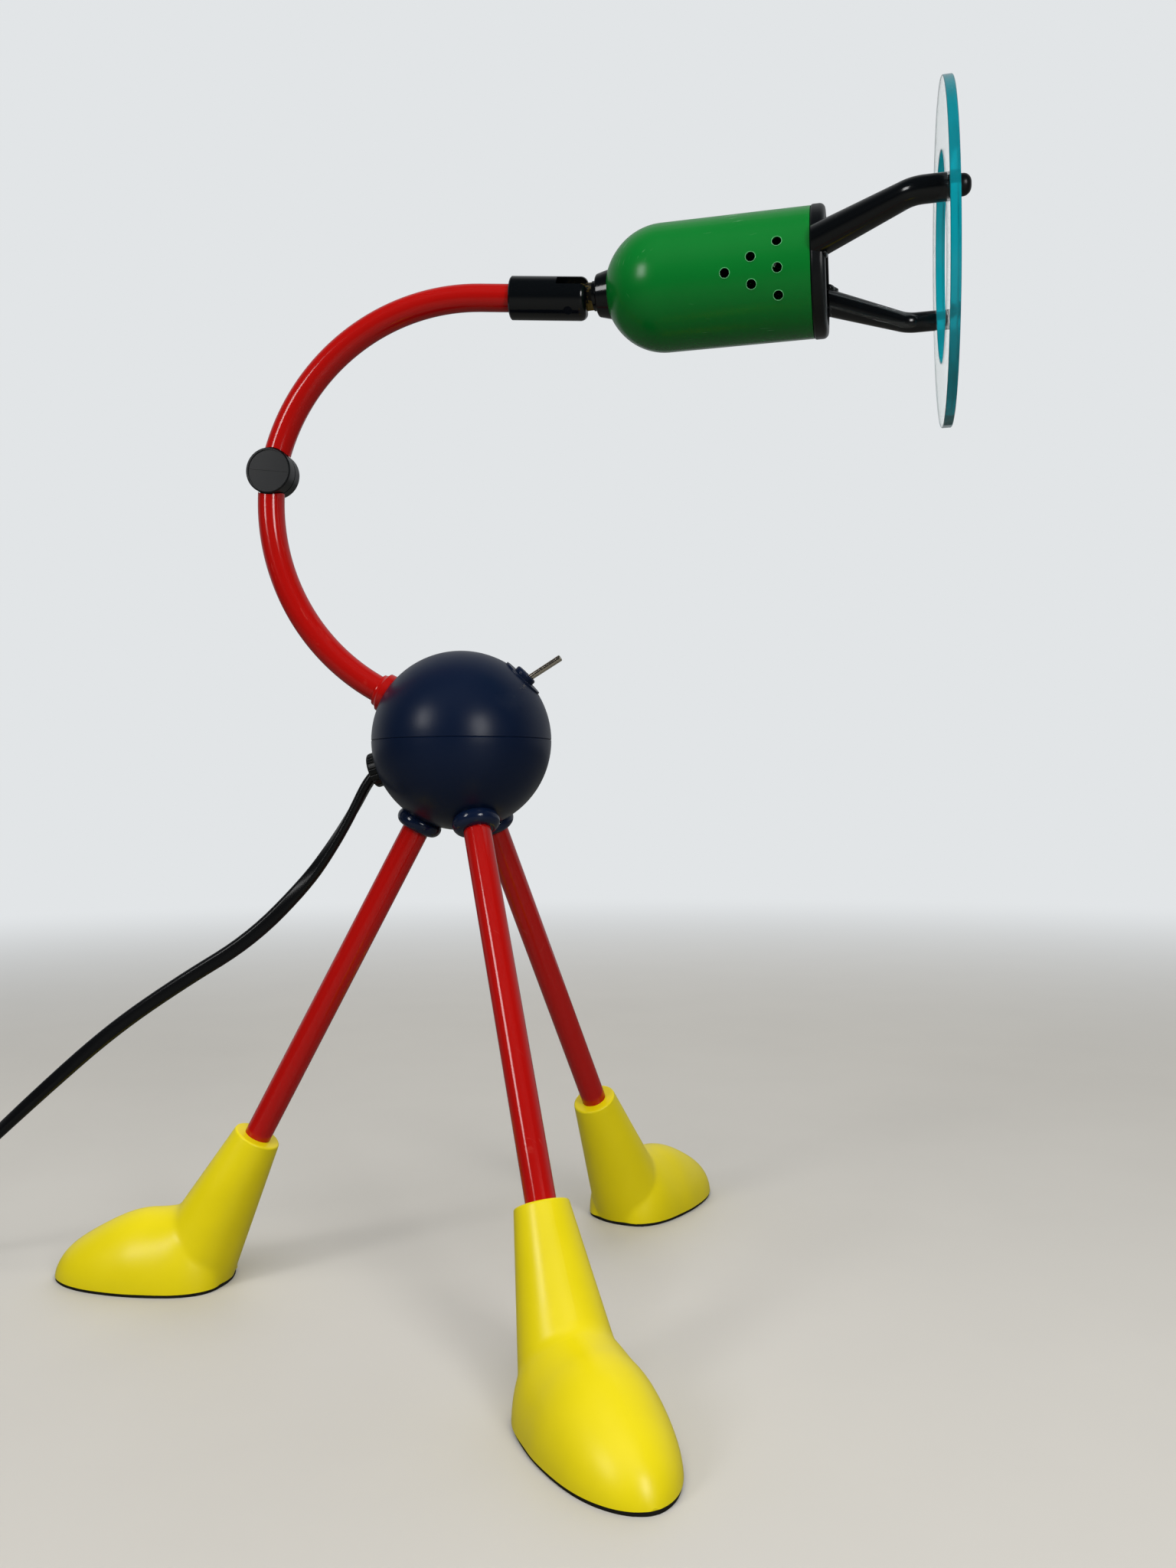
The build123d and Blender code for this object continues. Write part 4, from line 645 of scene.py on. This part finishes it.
class LAMP_OT_stage(bpy.types.Operator):
    """Makes the pale floor, the studio light and the camera"""

    bl_idname = "lamp.stage"
    bl_label = "Studio"

    # The camera's sensor and lens in millimetres, its place in metres and its turns in degrees
    sensor = 36
    focal_length = 29.11
    viewpoint = (0.11087, -0.55551, 0.22021)
    view_turns = (90.5, 0.45, 7.104)
    # The brightness of the room in front for reflections, what diffuse light adds to it, and the wall behind
    room_front = 0.05
    room_fill = 0.16
    room_behind = 0.5
    # Place, width, height, watts and whether it has a reflection, for each light, and the point they all face
    lights = {
        "right_window": ((0.72, -1.01, 0.58), 0.30, 0.46, 5.5, True),
        "left_window": ((-0.75, -0.94, 0.77), 0.28, 0.42, 4.0, True),
        "sky": ((0.05, -0.80, 1.55), 1.4, 1.4, 16.0, False),
        "sky_behind": ((0.0, 1.2, 1.3), 1.4, 1.4, 8.0, False),
    }
    lit_point = (0, 0, 0.25)
    # The floor's colour as seen and as all other rays meet it, where it fades, and half its width in metres
    floor_seen = linear("CFCBC3")
    floor_unseen = linear("76756F")
    fade_from = 0.5
    fade_to = 2.2
    floor_reach = 4.0

    def set_camera(self, scene):
        """Sets the camera where the photograph was taken from."""
        lens = bpy.data.cameras.new("camera")
        lens.sensor_width = self.sensor
        lens.lens = self.focal_length
        camera = bpy.data.objects.new("camera", lens)
        camera.location = self.viewpoint
        camera.rotation_euler = Euler([math.radians(a) for a in self.view_turns])
        scene.collection.objects.link(camera)
        scene.camera = camera

    def seen(self, tree):
        """1 for rays from the camera, straight or through glass, and 0 for all others."""
        ray = add(tree, "ShaderNodeLightPath").outputs
        either = add(tree, "ShaderNodeMath",
                     {0: ray["Is Camera Ray"], 1: ray["Is Transmission Ray"]}, operation="MAXIMUM")
        return either.outputs[0]

    def set_room(self, scene, pale):
        """Makes a pale wall behind and a dim room in front. Seen directly, the backdrop is pale all round."""
        world = bpy.data.worlds.new("studio")
        world.use_nodes = True
        tree = world.node_tree
        ground = tree.nodes["Background"]
        ground.inputs["Color"].default_value = pale
        around = add(tree, "ShaderNodeTexCoord").outputs["Generated"]
        way = add(tree, "ShaderNodeSeparateXYZ", {"Vector": around})
        ray = add(tree, "ShaderNodeLightPath")
        front = add(tree, "ShaderNodeMath",
                    {0: ray.outputs["Is Diffuse Ray"], 1: self.room_fill, 2: self.room_front},
                    operation="MULTIPLY_ADD")
        room = add(tree, "ShaderNodeMapRange",
                   {"Value": way.outputs["Y"], "From Min": -0.2, "From Max": 0.6,
                    "To Min": front.outputs[0], "To Max": self.room_behind},
                   interpolation_type="SMOOTHSTEP")
        strength = add(tree, "ShaderNodeMix",
                       {"Factor": self.seen(tree), "A": room.outputs["Result"], "B": 1.0},
                       data_type="FLOAT")
        tree.links.new(strength.outputs["Result"], ground.inputs["Strength"])
        scene.world = world

    def set_lights(self, scene):
        """Sets a window to each side of the viewer, and light from above and behind without reflections."""
        for name, (place, width, height, watts, reflected) in self.lights.items():
            lamp = bpy.data.lights.new(name, "AREA")
            lamp.shape = "RECTANGLE"
            lamp.size = width
            lamp.size_y = height
            lamp.energy = watts
            light = bpy.data.objects.new(name, lamp)
            light.location = place
            light.visible_camera = False
            light.visible_glossy = reflected
            aim = Vector(self.lit_point) - Vector(place)
            light.rotation_euler = aim.to_track_quat("-Z", "Y").to_euler()
            scene.collection.objects.link(light)

    def laminate(self, pale):
        """A smooth pale top that fades into the backdrop. Reflections see it darker, so black stays black."""
        made, tree, shader, place = start_material("pale_laminate", self.floor_seen, roughness=0.6)
        surface, _ = toned(tree, place, self.floor_seen, size_mm=90, spread=0.03)
        far = add(tree, "ShaderNodeVectorMath", {0: place}, operation="LENGTH")
        fade = add(tree, "ShaderNodeMapRange",
                   {"Value": far.outputs["Value"], "From Min": self.fade_from, "From Max": self.fade_to},
                   interpolation_type="SMOOTHSTEP")
        seen = self.seen(tree)
        kept = add(tree, "ShaderNodeMix",
                   {"Factor": seen, "A": (*self.floor_unseen, 1), "B": surface}, data_type="RGBA")
        tree.links.new(kept.outputs["Result"], shader.inputs["Base Color"])
        share = add(tree, "ShaderNodeMath", {0: fade.outputs["Result"], 1: seen}, operation="MULTIPLY")
        glow = add(tree, "ShaderNodeEmission", {"Color": pale, "Strength": 1.0})
        both = add(tree, "ShaderNodeMixShader",
                   {0: share.outputs[0], 1: shader.outputs["BSDF"], 2: glow.outputs["Emission"]})
        tree.links.new(both.outputs["Shader"], tree.nodes["Material Output"].inputs["Surface"])
        return made

    def execute(self, context):
        """Sets the camera, the room, the lights and the floor."""
        scene = context.scene
        colours, _ = settings()
        pale = (*colours.backdrop, 1)
        scene.view_settings.view_transform = "Standard"
        self.set_camera(scene)
        self.set_room(scene, pale)
        self.set_lights(scene)
        far = self.floor_reach
        mesh = bpy.data.meshes.new("floor")
        mesh.from_pydata([(-far, -far, 0), (far, -far, 0), (far, far, 0), (-far, far, 0)], [], [(0, 1, 2, 3)])
        mesh.materials.append(self.laminate(pale))
        table = bpy.data.objects.new("floor", mesh)
        scene.collection.objects.link(table)
        return {"FINISHED"}


class LAMP_OT_cord(bpy.types.Operator):
    """Makes the flat cord with its coil, and the plug at its end"""

    bl_idname = "lamp.cord"
    bl_label = "Cord and plug"

    # The plug's sections: distance from its rear, half width and half thickness, in millimetres
    plug_sections = (
        (0.0, 4.4, 3.6), (0.5, 5.0, 4.2), (2.0, 5.6, 4.6), (14.5, 11.0, 6.2), (17.0, 12.3, 6.7),
        (19.0, 12.5, 6.8), (33.6, 12.5, 6.8), (34.7, 12.2, 6.5), (35.0, 11.6, 5.9),
    )
    # Points around a section, the step between sections, and the power that rounds off a section's corners
    plug_sides = 48
    plug_step = 0.3
    plug_power = 0.5
    # The grooves of the grip
    grip_from = 3.0
    grip_to = 14.0
    grip_pitch = 1.8
    grip_depth = 0.45

    def plug_ring(self, middle, along, width, thickness):
        """One rounded section of the plug."""
        ring = []
        for k in range(self.plug_sides):
            angle = 2 * math.pi * k / self.plug_sides
            across = math.copysign(abs(math.cos(angle)) ** self.plug_power, math.cos(angle)) * width
            up = math.copysign(abs(math.sin(angle)) ** self.plug_power, math.sin(angle)) * thickness
            ring.append(middle + Vector((across, along, up)) * MM)
        return ring

    def plug_mesh(self):
        """Lofts the plug from its rear to its face, with grooves across its grip."""
        low, high = (Vector(corner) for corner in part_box("plug_body"))
        middle = Vector(((low.x + high.x) / 2, low.y, (low.z + high.z) / 2))
        bm = bmesh.new()
        rings = []
        for first, second in zip(self.plug_sections, self.plug_sections[1:]):
            steps = max(1, round((second[0] - first[0]) / self.plug_step))
            for step in range(steps):
                share = step / steps
                along, width, thickness = (a + (b - a) * share for a, b in zip(first, second))
                if self.grip_from < along < self.grip_to:
                    wave = 0.5 - 0.5 * math.cos(2 * math.pi * (along - self.grip_from) / self.grip_pitch)
                    width -= self.grip_depth * wave
                    thickness -= self.grip_depth * wave
                rings.append(self.plug_ring(middle, along, width, thickness))
        rings.append(self.plug_ring(middle, *self.plug_sections[-1]))
        skin(bm, rings)
        return finished_mesh("plug", bm, sharp_degrees=40)

    def execute(self, context):
        """Sweeps the cord along its route, then makes the plug."""
        _, sizes = settings()
        line = smooth_line(ROUTE + coil_points() + TAIL)
        bm = bmesh.new()
        skin(bm, flat_tube(line, sizes.cord_width, sizes.cord_thickness))
        mesh = finished_mesh("cord", bm, sharp_degrees=60)
        cord = new_piece("cord", mesh, ["cord"], "base", "cord_pvc", "cord_lead", "cord_coil", "cord_tail")
        plug = new_piece("plug", self.plug_mesh(), ["black_plastic"], "base", "black_plastic", "plug_body")
        paint("black_plastic", "cord_gland", "cord_tie")
        paint("nickel", "plug_pins")
        return {"FINISHED"}


class LAMP_OT_ball(bpy.types.Operator):
    """Finishes the two shells of the ball"""

    bl_idname = "lamp.ball"
    bl_label = "Ball"

    def execute(self, context):
        """Gives the shells their grained plastic."""
        paint("ball", "ball_upper_shell", "ball_lower_shell")
        paint("steel", "shell_screw")
        return {"FINISHED"}


class LAMP_OT_legs(bpy.types.Operator):
    """Finishes the three legs with their collars and feet"""

    bl_idname = "lamp.legs"
    bl_label = "Legs and feet"

    def execute(self, context):
        """Gives tubes, collars, feet and soles their finishes."""
        paint("tube", *(f"leg_{s}" for s in LEGS))
        paint("collar", *(f"leg_collar_{s}" for s in LEGS))
        paint("foot", *(f"foot_{s}" for s in LEGS))
        paint("sole", *(f"sole_pad_{s}" for s in LEGS))
        paint("steel", "leg_nuts")
        return {"FINISHED"}


class LAMP_OT_arm(bpy.types.Operator):
    """Finishes the arm and its elbow"""

    bl_idname = "lamp.arm"
    bl_label = "Arm and elbow"

    def execute(self, context):
        """Gives the tubes and the elbow's halves their finishes."""
        paint("tube", "arm_flange", "arm_lower_tube", "arm_upper_tube")
        paint("black_plastic", "elbow_near_half", "elbow_far_half", "elbow_washer")
        paint("steel", "arm_root_nut", "elbow_screw", "elbow_nut")
        return {"FINISHED"}


class LAMP_OT_swivel(bpy.types.Operator):
    """Finishes the swivel between the arm and the head"""

    bl_idname = "lamp.swivel"
    bl_label = "Swivel"

    def execute(self, context):
        """Gives barrel, pin, tongue and washers their finishes."""
        paint("black_enamel", "swivel_barrel", "swivel_pin", "swivel_step_ring", "swivel_cone_washer")
        paint("brass", "swivel_tongue")
        paint("steel", "barrel_grub_screw", "stem_nuts")
        return {"FINISHED"}


class LAMP_OT_cup(bpy.types.Operator):
    """Finishes the cup with its vents, and the black ring with its prongs"""

    bl_idname = "lamp.cup"
    bl_label = "Cup and prongs"

    # The cup and its vents, then the prongs' roots on the front ring, in millimetres and degrees
    cup_radius = 26.5
    vent_first = 71.2
    vent_pitch = 10.75
    vent_angle = 51.6
    vent_rows = 3
    ring_front = 112.0
    root_radius = 25.5
    prong_lean = 35.2
    weld_from = 21.9
    weld_to = 26.6
    weld_steps = 72
    weld_seed = 11
    # How much the drops of the weld and of its pool differ in size
    drop_spread = (0.85, 1.2)
    pool_spread = (0.9, 1.1)
    # Where each prong stands, and its radius there
    prong_roots = {"prong_near": (28.5, 6.8), "prong_far": (208.5, 5.8)}
    # The pool of weld at the far prong: distance in front of the ring, and how large its drops are
    pool = ((0.1, 1.9), (0.8, 1.6), (1.6, 1.25), (2.5, 0.9), (3.5, 0.6))
    pool_lean = 0.7

    def vent_lips(self, sizes):
        """Grows the thin lip of enamel around every vent."""
        points = []
        facings = []
        step = math.degrees(self.vent_pitch / self.cup_radius)
        for row in range(self.vent_rows):
            for place in range(row + 1):
                for side in (0, 180):
                    angle = self.vent_angle + (place - row / 2) * step + side
                    along = self.vent_first + row * self.vent_pitch
                    points.append(head_point(self.cup_radius, angle, along))
                    facings.append(points[-1] - head_point(0, angle, along))
        values = {"Ring radius": sizes.vent_radius + sizes.vent_lip / 2, "Wire radius": sizes.vent_lip}
        return grown_mesh("vent_lips", ring_tree("vent_lip"), values, points, facings)

    def prong_weld(self, sizes):
        """Melts a weld along both sides of each prong's root, with a pool at the far prong."""
        points = []
        drops = []
        chance = random.Random(self.weld_seed)
        stretch = 1 / math.cos(math.radians(self.prong_lean))
        for name, (middle, wire) in self.prong_roots.items():
            for step in range(self.weld_steps):
                turned = 2 * math.pi * step / self.weld_steps
                out = self.root_radius + wire * stretch * math.cos(turned)
                across = wire * math.sin(turned)
                radius = math.hypot(out, across)
                if self.weld_from < radius < self.weld_to:
                    angle = middle + math.degrees(math.atan2(across, out))
                    points.append(head_point(radius, angle, self.ring_front))
                    drops.append(sizes.weld_bead * chance.uniform(*self.drop_spread))
                    above = points[-1].z > head_point(radius, middle, self.ring_front).z
                    if name == "prong_far" and above:
                        for ahead, share in self.pool:
                            out_by = radius + ahead * self.pool_lean
                            points.append(head_point(out_by, angle, self.ring_front + ahead))
                            drops.append(sizes.weld_bead * share * chance.uniform(*self.pool_spread))
        values = {"Cell": sizes.weld_bead / 4}
        return grown_mesh("prong_weld", weld_tree("black_enamel"), values, points, drops=drops)

    def execute(self, context):
        """Paints the pieces, then grows the lips of the vents and the weld at the prongs' roots."""
        _, sizes = settings()
        paint("cup", "lamp_cup")
        paint("black_plastic", "front_ring")
        paint("black_enamel", "prong_near", "prong_far")
        # The lips' paler green is a painted highlight along the vents' edges
        new_piece("vent_lips", self.vent_lips(sizes), ["vent_lip"], "head", "green_enamel")
        new_piece("prong_weld", self.prong_weld(sizes), ["black_enamel"], "head", "black_enamel")
        return {"FINISHED"}


class LAMP_OT_glass(bpy.types.Operator):
    """Makes the ring of glass with its clear faces and coloured edges, and finishes its nuts"""

    bl_idname = "lamp.glass"
    bl_label = "Glass ring"

    # A face turned this near to the head's axis is one of the two flat faces
    flat_from = 0.95
    # Points nearer than this, in millimetres, become one
    merge_within = 0.002

    def execute(self, context):
        """Sorts the ring's faces into clear flat faces and smooth coloured edges."""
        bm = bmesh.new()
        bm.from_mesh(NODES["glass_ring"].data)
        bmesh.ops.remove_doubles(bm, verts=bm.verts, dist=self.merge_within * MM)
        bm.normal_update()
        for face in bm.faces:
            face.material_index = 0 if abs(face.normal.dot(HEAD_AXIS)) > self.flat_from else 1
        mesh = finished_mesh("glass", bm, sharp_degrees=25)
        for face in mesh.polygons:
            face.use_smooth = face.material_index == 1
        new_piece("glass", mesh, ["glass", "glass_edge"], "head", "float_glass", "glass_ring")
        paint("black_plastic", "glass_cap_nuts")
        paint("steel", "glass_screws")
        return {"FINISHED"}


class LAMP_OT_bulb(bpy.types.Operator):
    """Makes the bulb's faceted reflector and its filament"""

    bl_idname = "lamp.bulb"
    bl_label = "Bulb"

    # The reflector's inside and outside from the front: radius and distance from the tilt pin, in millimetres
    inside = ((23.2, 102.2), (21.2, 95.0), (17.2, 88.0), (11.6, 78.0), (5.7, 70.0))
    outside = (
        (25.0, 102.2), (25.0, 98.6), (22.4, 93.4), (19.0, 88.0), (13.0, 76.4), (7.5, 66.0), (7.5, 57.8),
    )
    # How far a facet's middle stands out, and the filament's place and size, in millimetres
    facet_rise = 0.35
    coil_from = 77.0
    coil_length = 6.0
    coil_radius = 1.1

    def inside_at(self, share):
        """The inside's radius and place at a share of its rows."""
        reach = share * (len(self.inside) - 1)
        row = min(int(reach), len(self.inside) - 2)
        first, second = self.inside[row], self.inside[row + 1]
        return tuple(a + (b - a) * (reach - row) for a, b in zip(first, second))

    def reflector_mesh(self, rows, around):
        """Builds rows of facets inside, each with a raised middle, and a smooth outside."""
        bm = bmesh.new()
        grid = []
        for row in range(rows + 1):
            radius, along = self.inside_at(row / rows)
            grid.append([bm.verts.new(head_point(radius, 360 * k / around, along)) for k in range(around)])
        for row in range(rows):
            radius, along = self.inside_at((row + 0.5) / rows)
            for k in range(around):
                after = (k + 1) % around
                top = bm.verts.new(head_point(radius - self.facet_rise, 360 * (k + 0.5) / around, along))
                corners = (grid[row][k], grid[row][after], grid[row + 1][after], grid[row + 1][k])
                for first, second in zip(corners, corners[1:] + corners[:1]):
                    bm.faces.new((first, second, top))
        shell = []
        for radius, along in self.outside:
            shell.append([head_point(radius, 360 * k / around, along) for k in range(around)])
        back = skin(bm, shell, close=False)
        for k in range(around):
            after = (k + 1) % around
            bm.faces.new((grid[0][k], grid[0][after], back[0][after], back[0][k]))
        bm.faces.new(grid[-1])
        bm.faces.new(back[-1])
        return finished_mesh("reflector", bm, sharp_degrees=12)

    def filament_mesh(self, sizes):
        """Winds the filament along the head's axis, inside the capsule."""
        values = {"Turns": float(sizes.filament_turns), "Coil radius": self.coil_radius * MM,
                  "Height": self.coil_length * MM, "Wire radius": sizes.filament_wire}
        mesh = grown_mesh("filament", spiral_tree("steel"), values, [(0, 0, 0)])
        turn = HEAD_AXIS.to_track_quat("Z", "Y").to_matrix().to_4x4()
        mesh.transform(Matrix.Translation(head_point(0, 0, self.coil_from)) @ turn)
        return mesh

    def execute(self, context):
        """Makes the reflector and the filament, and finishes the holder."""
        _, sizes = settings()
        mesh = self.reflector_mesh(sizes.facet_rows, sizes.facets_around)
        new_piece("reflector", mesh, ["mirror"], "head", "reflector_glass", "bulb_reflector")
        new_piece("filament", self.filament_mesh(sizes), ["steel"], "head", "steel")
        paint("quartz", "bulb_capsule")
        paint("steel", "bulb_pins", "lampholder_strap")
        paint("white", "lampholder")
        return {"FINISHED"}


class LAMP_OT_switch(bpy.types.Operator):
    """Finishes the toggle switch"""

    bl_idname = "lamp.switch"
    bl_label = "Switch"

    def execute(self, context):
        """Gives the plate, nut, lever and body their finishes."""
        paint("ball", "switch_plate", "switch_nut")
        paint("nickel", "switch_lever")
        paint("black_plastic", "switch_body")
        return {"FINISHED"}


class LAMP_OT_inside(bpy.types.Operator):
    """Finishes the transformer inside the ball, and winds its wire"""

    bl_idname = "lamp.inside"
    bl_label = "Transformer"

    # How deep the wire lies in the tape, and the turns' corner radius, in millimetres
    wire_inset = 0.2
    corner = 2.5

    def execute(self, context):
        """Paints the transformer and grows the winding's turns."""
        _, sizes = settings()
        paint("steel", "transformer_bracket")
        paint("iron", "transformer_core")
        paint("tape", "transformer_winding")
        paint("white", "terminal_block")
        low, high = (Vector(corner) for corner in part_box("transformer_winding"))
        middle = (low + high) / 2
        room = high.y - low.y - 2 * sizes.winding_wire
        points = []
        for turn in range(sizes.winding_turns):
            along = low.y + sizes.winding_wire + room * turn / (sizes.winding_turns - 1)
            points.append((middle.x, along, middle.z))
        values = {
            "Width": high.x - low.x - 2 * self.wire_inset * MM,
            "Height": high.z - low.z - 2 * self.wire_inset * MM,
            "Corner": self.corner * MM,
            "Wire radius": sizes.winding_wire,
        }
        mesh = grown_mesh("winding_turns", turns_tree("copper"), values, points, [(0, 1, 0)] * len(points))
        new_piece("winding_turns", mesh, ["copper"], "base", "winding_tape")
        return {"FINISHED"}


class LAMP_PT_panel(bpy.types.Panel):
    """Lists the steps that dress the lamp"""

    bl_idname = "LAMP_PT_panel"
    bl_label = "Lamp"
    bl_space_type = "VIEW_3D"
    bl_region_type = "UI"
    bl_category = "Lamp"

    def draw(self, context):
        """Draws one button for each step."""
        for step in STEPS:
            self.layout.operator(step.bl_idname)


STEPS = (
    LAMP_OT_stage, LAMP_OT_cord, LAMP_OT_ball, LAMP_OT_legs, LAMP_OT_arm, LAMP_OT_swivel, LAMP_OT_cup,
    LAMP_OT_glass, LAMP_OT_bulb, LAMP_OT_switch, LAMP_OT_inside,
)
CLASSES = (LampColours, LampSizes, *STEPS, LAMP_PT_panel)


def register():
    """Registers the classes and the scene's properties."""
    for kind in CLASSES:
        bpy.utils.register_class(kind)
    bpy.types.Scene.lamp_colours = PointerProperty(type=LampColours)
    bpy.types.Scene.lamp_sizes = PointerProperty(type=LampSizes)


def unregister():
    """Takes the classes and the properties away again."""
    del bpy.types.Scene.lamp_sizes
    del bpy.types.Scene.lamp_colours
    for kind in reversed(CLASSES):
        bpy.utils.unregister_class(kind)


def main():
    """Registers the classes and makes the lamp."""
    register()
    bpy.ops.lamp.stage()
    bpy.ops.lamp.cord()
    bpy.ops.lamp.ball()
    bpy.ops.lamp.legs()
    bpy.ops.lamp.arm()
    bpy.ops.lamp.swivel()
    bpy.ops.lamp.cup()
    bpy.ops.lamp.glass()
    bpy.ops.lamp.bulb()
    bpy.ops.lamp.switch()
    bpy.ops.lamp.inside()


if __name__ == "__main__":
    main()
